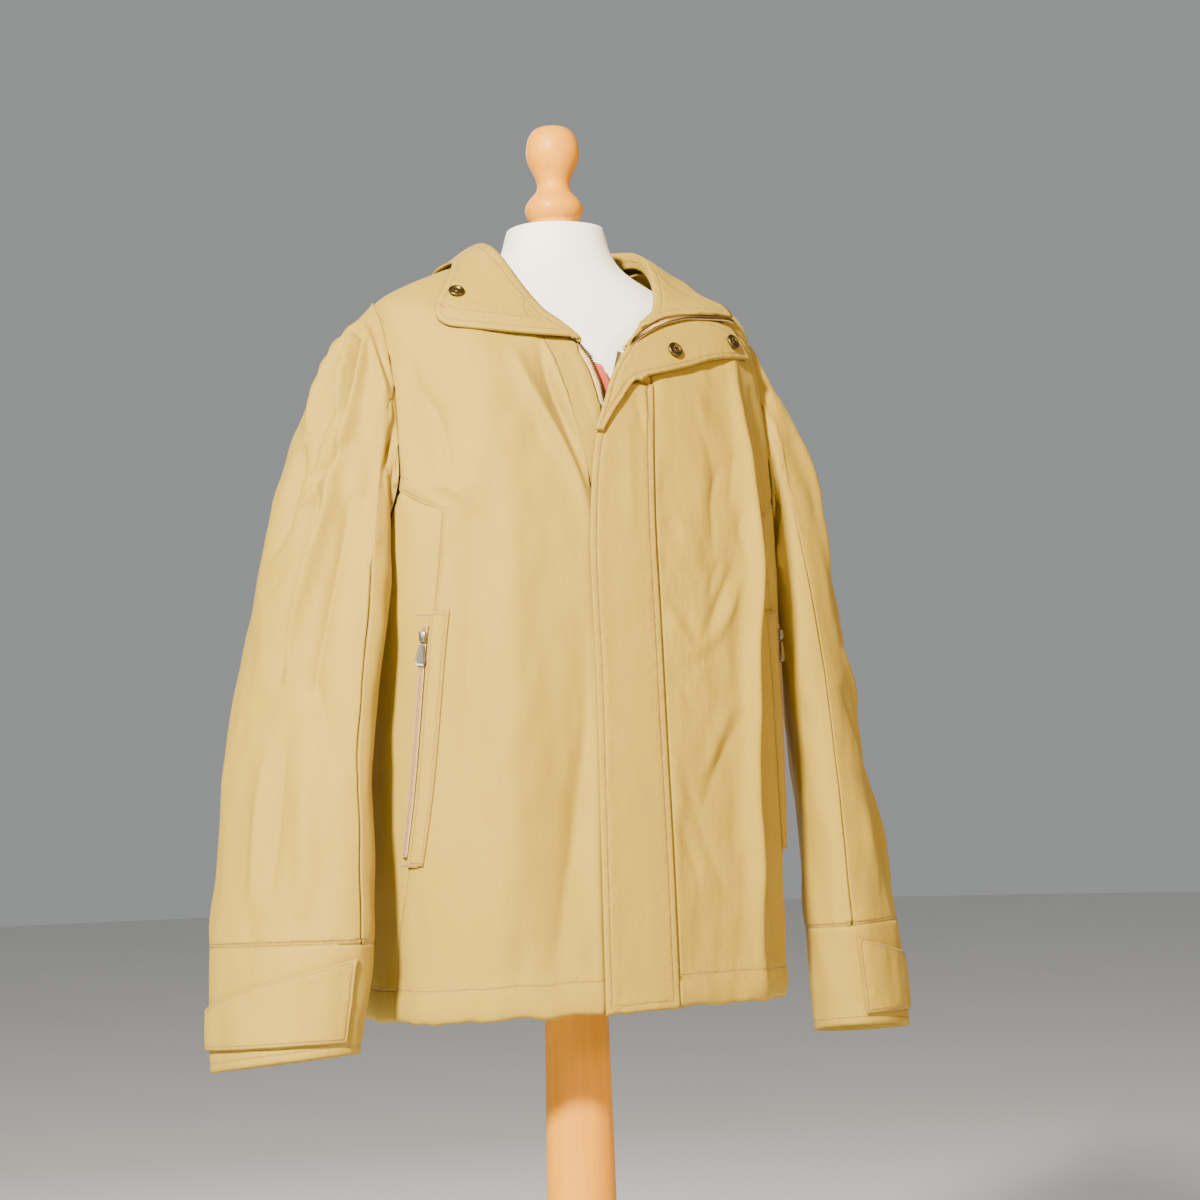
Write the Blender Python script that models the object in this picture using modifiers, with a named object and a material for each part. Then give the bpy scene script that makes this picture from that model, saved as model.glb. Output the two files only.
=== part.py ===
"""A man's padded windbreaker worn on a limbless dress form with a turned wooden stand.

Metres, +Z up, the jacket faces -Y and its right side is at -X. The origin is on the
floor, on the stand's axis. Every cloth panel is a grid between its own seams, laid on
one surface of the body or the sleeve, and given its wall by Solidify.

Places on the body are read as turn and level: turn is the angle round the body in
degrees, 0 at the centre front and positive towards the wearer's left, and level is
the height of the ring of cloth at the side of the body, which shrinks over the
shoulders to the neckline.
"""

import math

import bmesh
import bpy
import numpy as np
from mathutils import Matrix, Vector

# ---------------------------------------------------------------- driving dimensions

CLOTH = 0.0024          # wall of the padded shell
TRIM = 0.0018           # wall of flaps, tabs and welts
SEAM_GAP = 0.0003       # half of the slit left at a seam
HEM = 0.790             # level of the hem
YOKE = 1.268            # level where the front's side seam turns to the armhole
SHOULDER_TIP = 1.480    # level of the shoulder point
NECK_POINT = 1.531      # level of the shoulder seam's neck end
BACK_SEAM = 114.0       # turn of the side panel's back seam

# level, half width, front depth, back depth, height at front, side and back, squareness
BODY = (
    (0.790, 0.212, 0.142, 0.128, 0.795, 0.790, 0.769, 2.50),
    (0.950, 0.216, 0.145, 0.127, 0.950, 0.950, 0.945, 2.50),
    (1.100, 0.217, 0.146, 0.127, 1.100, 1.100, 1.100, 2.50),
    (1.240, 0.215, 0.145, 0.130, 1.240, 1.240, 1.240, 2.55),
    (1.330, 0.214, 0.140, 0.130, 1.322, 1.333, 1.335, 2.45),
    (1.400, 0.211, 0.130, 0.124, 1.380, 1.402, 1.405, 2.30),
    (1.450, 0.204, 0.118, 0.112, 1.418, 1.452, 1.456, 2.20),
    (1.480, 0.193, 0.108, 0.101, 1.438, 1.481, 1.486, 2.15),
    (1.510, 0.140, 0.098, 0.088, 1.447, 1.509, 1.514, 2.10),
    (1.540, 0.070, 0.086, 0.074, 1.454, 1.535, 1.540, 2.00),
)

# folds of the body cloth: turn, width in degrees, lowest and highest level, height,
# lean in degrees of turn for each metre upwards
BODY_FOLDS = (
    (38.0, 6.0, 0.74, 1.44, 0.0070, 0.0),
    (22.0, 6.0, 0.74, 1.10, -0.0030, -14.0),
    (-62.0, 7.0, 0.74, 1.02, 0.0030, 10.0),
    (-26.0, 5.0, 1.26, 1.50, 0.0025, -30.0),
    (152.0, 7.0, 0.74, 1.36, 0.0050, 6.0),
    (176.0, 6.0, 0.74, 1.20, -0.0040, -8.0),
    (202.0, 7.0, 0.74, 1.38, 0.0050, -6.0),
    (232.0, 6.0, 0.74, 1.18, 0.0035, 4.0),
    (126.0, 6.0, 0.74, 1.22, 0.0035, -4.0),
)

# seams of one side, as turn and level from the hem upwards
ZIP_EDGE = {
    "right": ((1.2, HEM), (1.2, 1.10), (1.2, 1.300), (3.0, 1.366), (6.7, 1.452), (10.0, 1.476)),
    "left": ((1.2, HEM), (1.2, 1.10), (1.2, 1.340), (1.2, 1.400), (2.0, 1.440), (4.0, 1.458)),
}
BAND_SEAM = {
    "right": ((6.2, HEM), (6.2, 1.10), (6.4, 1.300), (9.5, 1.365), (14.3, 1.440), (18.0, 1.478)),
    "left": ((7.7, HEM), (5.5, 1.105), (4.9, 1.280), (6.5, 1.360), (9.3, 1.426), (13.0, 1.468)),
}
NECKLINE = {
    "right": ((18.0, 1.478), (30.0, 1.503), (45.0, 1.517), (65.0, 1.526), (90.0, NECK_POINT)),
    "left": ((13.0, 1.468), (28.0, 1.503), (45.0, 1.517), (65.0, 1.526), (90.0, NECK_POINT)),
}
SIDE_SEAM = ((76.7, HEM), (75.0, 0.836), (65.1, 0.935), (52.7, 1.175), (48.5, YOKE))
YOKE_SEAM = ((48.5, YOKE), (57.0, 1.276), (66.0, 1.287))

# armhole: angle round the sleeve (0 at the top, 90 at the front), turn and level
ARMHOLE = (
    (0.0, 90.0, SHOULDER_TIP),
    (40.0, 76.0, 1.450),
    (70.0, 68.5, 1.400),
    (97.0, 66.5, 1.346),
    (128.0, 66.0, 1.287),
    (144.0, 71.0, 1.262),
    (163.0, 81.0, 1.246),
    (180.0, 90.0, 1.240),
)

# sleeve: distance along, centre x, y, z, half length from front to back, half width,
# inward turn of its front end, pitch of its outer side (0 up, 90 level), front lift
SLEEVE = (
    (0.00, 0.2060, 0.000, 1.3585, 0.0700, 0.1185, 0.0, 0.0, 0.0),
    (0.06, 0.2225, -0.001, 1.336, 0.0715, 0.1100, 8.0, 3.0, 0.0),
    (0.13, 0.2350, -0.003, 1.300, 0.0730, 0.0960, 16.0, 10.0, 0.0),
    (0.20, 0.2430, -0.007, 1.265, 0.0745, 0.0840, 21.0, 20.0, 0.0),
    (0.28, 0.2510, -0.013, 1.222, 0.0770, 0.0640, 23.0, 38.0, 0.0),
    (0.38, 0.2645, -0.018, 1.165, 0.0840, 0.0440, 25.0, 64.0, 0.0),
    (0.48, 0.2780, -0.020, 1.110, 0.0860, 0.0360, 28.0, 82.0, 0.0),
    (0.60, 0.2880, -0.024, 1.040, 0.0845, 0.0355, 31.0, 86.0, 0.0),
    (0.75, 0.2970, -0.030, 0.955, 0.0845, 0.0410, 35.0, 86.0, 1.0),
    (0.90, 0.3050, -0.035, 0.863, 0.0840, 0.0465, 39.0, 86.0, 2.0),
    (1.00, 0.3130, -0.040, 0.755, 0.0740, 0.0490, 41.0, 86.0, 8.0),
)
CUFF_SEAM = 0.90
SLEEVE_SHIFT = {"right": (0.002, 0.0, 0.006), "left": (-0.006, 0.0, -0.008)}
ARM_CLEARANCE = 0.0042  # how far a sleeve keeps off the side of the body
ARMHOLE_CLEARANCE = 0.0022  # the same where it is set into the armhole
FRONT_SEAM = 76.0       # angle round the sleeve of the front and back sleeve seams
HIND_SEAM = 250.0

# folds of a sleeve: angle, width in degrees, place and width along, height, slant
SLEEVE_FOLDS = (
    (5.0, 60.0, 0.07, 0.06, 0.0050, 0.0),
    (30.0, 16.0, 0.26, 0.10, 0.0050, 60.0),
    (62.0, 14.0, 0.34, 0.12, -0.0050, 80.0),
    (-40.0, 22.0, 0.44, 0.08, -0.0016, 150.0),
    (10.0, 26.0, 0.56, 0.06, 0.0014, 160.0),
    (200.0, 22.0, 0.52, 0.10, -0.0050, 90.0),
    (240.0, 18.0, 0.70, 0.12, 0.0040, -60.0),
    (120.0, 16.0, 0.62, 0.12, 0.0040, 50.0),
)

CUFF_ROWS = (0.9035, 0.935, 0.968, 1.0)     # places along the sleeve
# cuff tab: angle round the sleeve, and the places of its lower and upper edge
CUFF_TAB = (
    (72.0, 0.990, 0.916),
    (-62.0, 0.982, 0.952),
)
CUFF_TAB_LIFT = 0.0042

# collar, turned outwards all round: turn and level of its roll, lift of the roll,
# turn and level of its outer edge, lift of the edge; from the right front to the left
COLLAR = (
    (-7.0, 1.4700, 0.0080, -47.0, 1.4590, 0.0065),
    (-13.0, 1.4960, 0.0090, -51.5, 1.4660, 0.0065),
    (-27.0, 1.5170, 0.0100, -54.0, 1.4800, 0.0065),
    (-43.0, 1.5270, 0.0120, -60.0, 1.4970, 0.0065),
    (-66.0, 1.5340, 0.0140, -75.0, 1.5160, 0.0065),
    (-95.0, 1.5380, 0.0160, -93.0, 1.5210, 0.0065),
    (-130.0, 1.5390, 0.0220, -127.0, 1.5120, 0.0075),
    (-180.0, 1.5390, 0.0250, -180.0, 1.4990, 0.0090),
    (-230.0, 1.5390, 0.0220, -233.0, 1.5120, 0.0075),
    (-265.0, 1.5380, 0.0170, -266.0, 1.5200, 0.0070),
    (-294.0, 1.5340, 0.0140, -284.0, 1.5160, 0.0075),
    (-317.0, 1.5270, 0.0120, -300.0, 1.5060, 0.0090),
    (-333.0, 1.5170, 0.0120, -303.0, 1.4930, 0.0120),
    (-347.0, 1.4980, 0.0135, -307.0, 1.4850, 0.0140),
    (-356.5, 1.4620, 0.0140, -310.0, 1.4790, 0.0150),
)
COLLAR_BOW = 0.030      # how far the left wing's front edge bows up over the flap
COLLAR_BOW_START = 0.857    # place along the collar from which it bows
COLLAR_STAND = 0.22     # share of the collar's width that stands up from the neck seam
COLLAR_FOOT = 0.0022    # lift of its neck seam
COLLAR_DROP = 0.0035    # and how far this lies under the roll

# storm flap, laid over the closed zip: level, turn of its free edge and of its seam
FLAP = (
    (0.7975, -6.6, 7.4),
    (0.900, -6.7, 6.7),
    (1.105, -6.8, 5.3),
    (1.280, -6.6, 4.7),
    (1.345, -5.2, 6.0),
    (1.385, -2.6, 7.6),
    (1.412, 1.6, 8.8),
)
FLAP_LIFT = 0.0052
# the flap's turned-out top: turn, level and lift along the zip, the same along its edge
FLAP_TURN = (
    (-5.6, 1.352, 0.0085, -3.9, 1.352, 0.0090),
    (-3.2, 1.390, 0.0105, -0.4, 1.386, 0.0110),
    (-0.8, 1.425, 0.0105, 3.0, 1.412, 0.0110),
    (3.0, 1.455, 0.0100, 8.2, 1.421, 0.0100),
    (10.5, 1.482, 0.0095, 21.3, 1.432, 0.0085),
    (22.7, 1.497, 0.0095, 31.0, 1.439, 0.0085),
    (36.0, 1.491, 0.0095, 42.0, 1.438, 0.0085),
    (48.0, 1.470, 0.0095, 53.0, 1.434, 0.0085),
)

# slanted pocket in the side seam
POCKET_TOP, POCKET_FOOT = 1.1740, 0.9370
POCKET_WELT = (-0.002, 0.006, 0.016)        # across the pocket's line
POCKET_WELT_LIFT = 0.0040
POCKET_COIL = (-0.0100, -0.0065, -0.0035)
POCKET_COIL_LIFT = 0.0035
POCKET_COIL_ENDS = (0.0080, 0.0120)         # kept off the welt's foot and top
SLIDER_DROP = 0.0240    # from the pocket's top to its slider
SLIDER_PLACE = (-0.0068, 0.0064)            # across, and lift
HINGE_PLACE = (0.0016, 0.0004)              # under the slider, and lift
ZIP_STRIP = 0.0065      # what shows of one half of the front zip
ZIP_GAP = 0.0012        # between the zip and the front band beside it
ZIP_MEETING = 0.0005    # how far a closed half stays off the centre line
PULL_TAB_LENGTH, PULL_TAB_WIDTH, PULL_TAB_WALL = 0.020, 0.011, 0.0014
# its outline, as shares of its width and length
PULL_TAB = ((-0.20, 0.0), (0.20, 0.0), (0.50, -0.80), (0.38, -1.0), (-0.38, -1.0), (-0.50, -0.80))
MAIN_SLIDER_LEVEL, MAIN_SLIDER_LIFT = 1.3220, 0.0030
MAIN_SLIDER_SIZE = (0.0090, 0.0150, 0.0016)
# strip of lining beside the zip: levels, then step across and lift of its two edges
PLACKET_LEVELS = (1.366, 1.385, 1.405, 1.425, 1.445)
PLACKET_NEAR, PLACKET_FAR = (0.0085, -0.0045), (0.0205, -0.0090)
SLIDER_SIZE = (0.0075, 0.0105, 0.0034)

SNAP_RADIUS, SNAP_HEIGHT = 0.0078, 0.0026
SNAPS = {
    "snap_collar": (-52.4, 1.4950, 0.0105),
    "snap_flap_inner": (17.1, 1.4518, 0.0130),
    "snap_flap_outer": (42.8, 1.4560, 0.0130),
}

# dress form: height, half width, front depth, back depth
FORM = (
    (0.870, 0.165, 0.108, 0.098),
    (0.960, 0.163, 0.108, 0.098),
    (1.080, 0.162, 0.110, 0.100),
    (1.200, 0.172, 0.118, 0.108),
    (1.300, 0.184, 0.122, 0.113),
    (1.390, 0.187, 0.110, 0.106),
    (1.440, 0.184, 0.090, 0.096),
    (1.462, 0.176, 0.079, 0.088),
    (1.478, 0.160, 0.072, 0.082),
    (1.495, 0.126, 0.065, 0.074),
    (1.510, 0.092, 0.059, 0.066),
    (1.524, 0.066, 0.055, 0.058),
    (1.540, 0.0545, 0.0525, 0.0535),
    (1.556, 0.0510, 0.0510, 0.0510),
    (1.5650, 0.0480, 0.0480, 0.0480),
)
FORM_SQUARENESS = 2.2
FORM_NECK_CAP = 1.5690

# turned wood, as radius and height from the top down
FINIAL = (
    (0.0, 1.6725), (0.0100, 1.6713), (0.0175, 1.6684), (0.0224, 1.6634), (0.0253, 1.6568),
    (0.0268, 1.6486), (0.0266, 1.6404), (0.0242, 1.6321), (0.0202, 1.6239), (0.0168, 1.6156),
    (0.0164, 1.6107), (0.0182, 1.6041), (0.0240, 1.5975), (0.0284, 1.5909), (0.0293, 1.5843),
    (0.0265, 1.5777), (0.0238, 1.5745), (0.0228, 1.5697), (0.0, 1.5697),
)
POST = (
    (0.0, 0.8690), (0.0310, 0.8690), (0.0312, 0.8200), (0.0318, 0.7600), (0.0335, 0.6600),
    (0.0345, 0.5600), (0.0340, 0.4200), (0.0315, 0.2600), (0.0290, 0.1400), (0.0330, 0.0800),
    (0.0400, 0.0600), (0.0400, 0.0463), (0.0, 0.0463),
)
BASE = (
    (0.0, 0.0460), (0.0600, 0.0460), (0.0900, 0.0400), (0.1500, 0.0330), (0.1900, 0.0280),
    (0.2000, 0.0200), (0.2000, 0.0040), (0.1960, 0.0), (0.0, 0.0),
)

# colours as linear red, green and blue, with roughness and metallic
FINISHES = {
    "shell_twill": ((0.56, 0.42, 0.21), 0.62, 0.0),
    "coral_lining": ((0.72, 0.16, 0.08), 0.60, 0.0),
    "form_jersey": ((0.86, 0.80, 0.68), 0.80, 0.0),
    "turned_wood": ((0.66, 0.34, 0.13), 0.35, 0.0),
    "antique_brass": ((0.16, 0.11, 0.05), 0.35, 1.0),
    "coil_zip": ((0.40, 0.25, 0.13), 0.55, 0.0),
    "puller_metal": ((0.30, 0.29, 0.27), 0.30, 1.0),
}

SIDES = {"right": -1.0, "left": 1.0}


# ------------------------------------------------------------------------- helpers

def read_table(rows, place):
    """Returns the columns of a table at a place, running smoothly between its rows."""
    table = np.asarray(rows, dtype=float)
    places, values = table[:, 0], table[:, 1:]
    slopes = np.gradient(values, places, axis=0)
    row = int(np.clip(np.searchsorted(places, place) - 1, 0, len(places) - 2))
    step = places[row + 1] - places[row]
    part = min(max((place - places[row]) / step, 0.0), 1.0)
    rest = 1.0 - part
    return (values[row] * (1 + 2 * part) * rest ** 2
            + slopes[row] * step * part * rest ** 2
            + values[row + 1] * part ** 2 * (3 - 2 * part)
            - slopes[row + 1] * step * part ** 2 * rest)


def along(points, count):
    """Spaces count + 1 points evenly along a smooth line through some (turn, level) pairs."""
    line = np.asarray(points, dtype=float)
    steps = np.hypot(np.diff(line[:, 0]) * 0.0026, np.diff(line[:, 1]))
    lengths = np.concatenate(([0.0], np.cumsum(steps)))
    table = np.column_stack((lengths, line))
    return [read_table(table, lengths[-1] * i / count) for i in range(count + 1)]


def mirrored(points):
    """The same seam on the body's other side."""
    return [np.array((-point[0], point[1])) for point in points]


def seam_place(seam, level):
    """The place of a seam at a level."""
    turn = read_table([(above, round_body) for round_body, above in seam], level)[0]
    return np.array((turn, level))


def on_side(points, side):
    """Seams are listed for positive turns and mirrored on the right side."""
    return mirrored(points) if side == "right" else [np.array(point) for point in points]


def fill_patch(bottom, top, left, right):
    """Fills the rows of points between four sides, which meet at the corners."""
    columns, rows = len(bottom) - 1, len(left) - 1
    grid = []
    for j in range(rows + 1):
        v = j / rows
        row = []
        for i in range(columns + 1):
            u = i / columns
            across = (1 - u) * left[j] + u * right[j]
            upright = (1 - v) * bottom[i] + v * top[i]
            corners = ((1 - u) * (1 - v) * bottom[0] + u * (1 - v) * bottom[-1]
                       + (1 - u) * v * top[0] + u * v * top[-1])
            row.append(across + upright - corners)
        grid.append(row)
    return grid


def fold_height(turn, level):
    """How far the cloth stands out of its smooth ring at a place on the body."""
    height = 0.0
    wrapped = (turn + 90.0) % 360.0 - 90.0
    for centre, width, low, high, rise, lean in BODY_FOLDS:
        if low < level < high:
            fade = math.sin(math.pi * min(1.0, (high - level) / (high - low) * 1.6) / 2) ** 2
            away = (wrapped - centre - lean * (level - low)) / width
            height += rise * fade * math.exp(-away * away)
    return height


def smooth_body(turn, level):
    """A point on the body's rings without folds."""
    width, front, back, high_front, high_side, high_back, square = read_table(BODY, level)
    across = math.sin(math.radians(turn))
    ahead = math.cos(math.radians(turn))
    power = 2.0 / square
    depth, height = (front, high_front) if ahead > 0 else (back, high_back)
    return Vector((
        width * math.copysign(abs(across) ** power, across),
        -depth * math.copysign(abs(ahead) ** power, ahead),
        high_side + (height - high_side) * ahead * ahead,
    ))


def body_normal(turn, level):
    """The direction out of the cloth at a place on the body."""
    around = smooth_body(turn + 1.5, level) - smooth_body(turn - 1.5, level)
    above = smooth_body(turn, min(level + 0.005, BODY[-1][0]))
    upwards = above - smooth_body(turn, max(level - 0.005, HEM))
    return around.cross(upwards).normalized()


def body_point(turn, level, lift=0.0):
    """A place on the folded body cloth, lifted out of it."""
    rise = fold_height(turn, level) + lift
    return smooth_body(turn, level) + body_normal(turn, level) * rise


def to_points(grid, lift=0.0):
    """Turns a grid of (turn, level) places into points."""
    return [[body_point(place[0], place[1], lift) for place in row] for row in grid]


def open_seams(grid, sides, gap=SEAM_GAP):
    """Pulls the named sides of a grid in by a gap: l, r, b and t for left to top."""
    pulled = [list(row) for row in grid]

    def pull(j, i, from_j, from_i):
        direction = grid[from_j][from_i] - grid[j][i]
        pulled[j][i] = pulled[j][i] + direction.normalized() * gap

    last_row, last_column = len(grid) - 1, len(grid[0]) - 1
    for j in range(last_row + 1):
        if "l" in sides:
            pull(j, 0, j, 1)
        if "r" in sides:
            pull(j, last_column, j, last_column - 1)
    for i in range(last_column + 1):
        if "b" in sides:
            pull(0, i, 1, i)
        if "t" in sides:
            pull(last_row, i, last_row - 1, i)
    return pulled


def finish_of(name):
    """Makes or finds the material of a finish."""
    if name in bpy.data.materials:
        return bpy.data.materials[name]
    colour, roughness, metallic = FINISHES[name]
    material = bpy.data.materials.new(name)
    material.use_nodes = True
    shader = material.node_tree.nodes["Principled BSDF"]
    shader.inputs["Base Color"].default_value = (*colour, 1.0)
    shader.inputs["Roughness"].default_value = roughness
    shader.inputs["Metallic"].default_value = metallic
    return material


def add_object(name, shape, finish, smooth=True):
    """Turns a bmesh into an object of the jacket's collection."""
    mesh = bpy.data.meshes.new(name)
    shape.to_mesh(mesh)
    shape.free()
    mesh.materials.append(finish_of(finish))
    if smooth:
        mesh.shade_smooth()
        mesh.set_sharp_from_angle(angle=math.radians(40))
    piece = bpy.data.objects.new(name, mesh)
    bpy.data.collections["windbreaker"].objects.link(piece)
    return piece


def add_wall(piece, thickness):
    """Gives an open sheet its wall, half on each side."""
    wall = piece.modifiers.new("wall", "SOLIDIFY")
    wall.thickness = thickness
    wall.offset = 0.0
    return piece


def add_sheet(name, grids, thickness=CLOTH, finish="shell_twill", ring=False):
    """Makes a cloth sheet from grids of points that share edges; a ring joins its ends."""
    shape = bmesh.new()
    for grid in grids:
        rows = [[shape.verts.new(point) for point in row] for row in grid]
        for low, high in zip(rows, rows[1:]):
            columns = len(low) if ring else len(low) - 1
            for i in range(columns):
                after = (i + 1) % len(low)
                shape.faces.new((low[i], low[after], high[after], high[i]))
    bmesh.ops.remove_doubles(shape, verts=shape.verts, dist=0.00002)
    bmesh.ops.recalc_face_normals(shape, faces=shape.faces)
    return add_wall(add_object(name, shape, finish), thickness)


def add_turned(name, profile, finish, steps=32):
    """Turns a profile, listed from the top down, about the stand's axis."""
    shape = bmesh.new()
    corners = [shape.verts.new((radius, 0.0, height)) for radius, height in profile]
    for upper, lower in zip(corners, corners[1:]):
        shape.edges.new((upper, lower))
    piece = add_object(name, shape, finish)
    turn = piece.modifiers.new("turn", "SCREW")
    turn.steps = steps
    turn.render_steps = steps
    turn.use_merge_vertices = True
    turn.merge_threshold = 0.00001
    turn.use_smooth_shade = True
    return piece


def add_block(name, size, place, finish, bevel=0.0006):
    """A small block with rounded edges, set by a matrix."""
    shape = bmesh.new()
    bmesh.ops.create_cube(shape, size=1.0)
    bmesh.ops.scale(shape, vec=size, verts=shape.verts)
    bmesh.ops.bevel(shape, geom=shape.edges, offset=bevel, segments=1, profile=0.5,
                    affect="EDGES", material=-1)
    bmesh.ops.transform(shape, matrix=place, verts=shape.verts)
    return add_object(name, shape, finish, smooth=False)


def frame_at(point, outward, upward):
    """A matrix at a point with Z outward and Y as near as it can be to upward."""
    z = outward.normalized()
    x = upward.cross(z).normalized()
    y = z.cross(x)
    matrix = Matrix((x, y, z)).transposed().to_4x4()
    matrix.translation = point
    return matrix


# ---------------------------------------------------------------------- the stand

def make_stand():
    """The turned base, post and finial, and the padded form between them."""
    add_turned("base", BASE, "turned_wood", steps=32)
    add_turned("post", POST, "turned_wood", steps=20)
    add_turned("finial", FINIAL, "turned_wood", steps=20)

    shape = bmesh.new()
    columns = 24
    rings = []
    for height, width, front, back in FORM:
        ring = []
        for i in range(columns):
            angle = 2 * math.pi * i / columns
            across, ahead = math.sin(angle), math.cos(angle)
            power = 2.0 / FORM_SQUARENESS
            depth = front if ahead > 0 else back
            ring.append(shape.verts.new((
                width * math.copysign(abs(across) ** power, across),
                -depth * math.copysign(abs(ahead) ** power, ahead),
                height,
            )))
        rings.append(ring)
    for low, high in zip(rings, rings[1:]):
        for i in range(columns):
            after = (i + 1) % columns
            shape.faces.new((low[i], low[after], high[after], high[i]))
    centre_top = shape.verts.new((0.0, 0.0, FORM_NECK_CAP))
    centre_foot = shape.verts.new((0.0, 0.0, FORM[0][0]))
    for i in range(columns):
        after = (i + 1) % columns
        shape.faces.new((rings[-1][i], rings[-1][after], centre_top))
        shape.faces.new((rings[0][after], rings[0][i], centre_foot))
    add_object("dress_form", shape, "form_jersey")


# ---------------------------------------------------------------------- the body

SEAM_ROWS = 12
UPPER_ROWS = 14
FRONT_COLUMNS = 8
YOKE_COLUMNS = 3
SIDE_COLUMNS = 9


def armhole_place(angle):
    """The turn and level of the armhole at an angle round the sleeve, on the left side."""
    wrapped = angle % 360.0
    behind = wrapped > 180.0
    turn, level = read_table(ARMHOLE, 360.0 - wrapped if behind else wrapped)
    return np.array((180.0 - turn if behind else turn, level))


def front_panel(side):
    """One front: below, from the band to the side seam; above, out to the armhole."""
    seam_side = along(SIDE_SEAM, SEAM_ROWS)
    low_band = [seam_place(BAND_SEAM[side], place[1]) for place in seam_side]
    hem = [np.array((low_band[0][0] + (seam_side[0][0] - low_band[0][0]) * i / FRONT_COLUMNS,
                     HEM)) for i in range(FRONT_COLUMNS + 1)]
    inner_row = [low_band[-1] + (seam_side[-1] - low_band[-1]) * i / FRONT_COLUMNS
                 for i in range(FRONT_COLUMNS + 1)]
    lower = fill_patch(hem, inner_row, low_band, seam_side)

    bottom = inner_row + along(YOKE_SEAM, YOKE_COLUMNS)[1:]
    band_top = BAND_SEAM[side][-1][1]
    half = UPPER_ROWS // 2
    inner_line = [seam_place(BAND_SEAM[side], YOKE + (band_top - YOKE) * j / half)
                  for j in range(half)]
    inner_line += along(NECKLINE[side], UPPER_ROWS - half)
    outer_line = [armhole_place(128.0 * (1 - j / UPPER_ROWS)) for j in range(UPPER_ROWS + 1)]
    shoulder = [inner_line[-1] + (outer_line[-1] - inner_line[-1]) * i / (len(bottom) - 1)
                for i in range(len(bottom))]
    upper = fill_patch(bottom, shoulder, inner_line, outer_line)

    lower_points = open_seams(to_points([on_side(row, side) for row in lower]), "lr")
    upper_points = open_seams(to_points([on_side(row, side) for row in upper]), "lrt")
    upper_points[0][:FRONT_COLUMNS + 1] = lower_points[-1]
    for i in range(FRONT_COLUMNS + 1, len(bottom)):
        direction = upper_points[1][i] - upper_points[0][i]
        upper_points[0][i] = upper_points[0][i] + direction.normalized() * 2 * SEAM_GAP
    add_sheet("front_" + side, [lower_points, upper_points])


def side_panel(side):
    """The panel under the arm, from the front's seam round to the back's."""
    front_seam = along(SIDE_SEAM, SEAM_ROWS)
    yoke = along(YOKE_SEAM, 2)
    under = [armhole_place(128.0 + 104.0 * i / (SIDE_COLUMNS - 2))
             for i in range(SIDE_COLUMNS - 1)]
    top = yoke[:2] + under
    back_top = top[-1]
    back_seam = [np.array((BACK_SEAM, HEM + (back_top[1] - HEM) * j / SEAM_ROWS))
                 for j in range(SEAM_ROWS)] + [back_top]
    columns = len(top) - 1
    hem = [np.array((front_seam[0][0] + (BACK_SEAM - front_seam[0][0]) * i / columns, HEM))
           for i in range(columns + 1)]
    grid = fill_patch(hem, top, front_seam, back_seam)
    points = open_seams(to_points([on_side(row, side) for row in grid]), "lrt")
    add_sheet("side_" + side, [points])


def back_panel():
    """The whole back, from seam to seam below and over the shoulder blades above."""
    columns = 18
    levels = [HEM + (1.287 - HEM) * j / SEAM_ROWS for j in range(SEAM_ROWS)]
    edges = [(BACK_SEAM, level) for level in levels]
    edges += [tuple(armhole_place(232.0 + 128.0 * j / 6)) for j in range(6)]
    edges += [(90.0, SHOULDER_TIP + (NECK_POINT - SHOULDER_TIP) * j / 5) for j in range(6)]
    grid = []
    for turn, level in edges:
        grid.append([np.array((turn + (360.0 - 2 * turn) * i / columns, level))
                     for i in range(columns + 1)])
    add_sheet("back", [open_seams(to_points(grid), "lr", 2 * SEAM_GAP)])


def front_band(side):
    """The strip between a front and the zip, which ends under the turned-out collar."""
    rows = 18
    edge_top, seam_top = ZIP_EDGE[side][-1][1], BAND_SEAM[side][-1][1] - 0.002
    grid = []
    for j in range(rows + 1):
        near = seam_place(ZIP_EDGE[side], HEM + (edge_top - HEM) * j / rows)
        far = seam_place(BAND_SEAM[side], HEM + (seam_top - HEM) * j / rows)
        grid.append([near + (far - near) * i / 2 for i in range(3)])
    points = to_points([on_side(row, side) for row in grid])
    add_sheet("front_band_" + side, [open_seams(points, "lr", 3 * SEAM_GAP)])


# ---------------------------------------------------------------------- sleeves

def body_side(point):
    """Half the body's width beside a point under the arm, or nothing above it."""
    if point.z > 1.285:
        return 0.0
    width, front, back, *_, square = read_table(BODY, max(point.z, HEM))
    inward = abs(point.y) / (front if point.y < 0 else back)
    return width * max(0.0, 1.0 - inward ** square) ** (1.0 / square)


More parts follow.
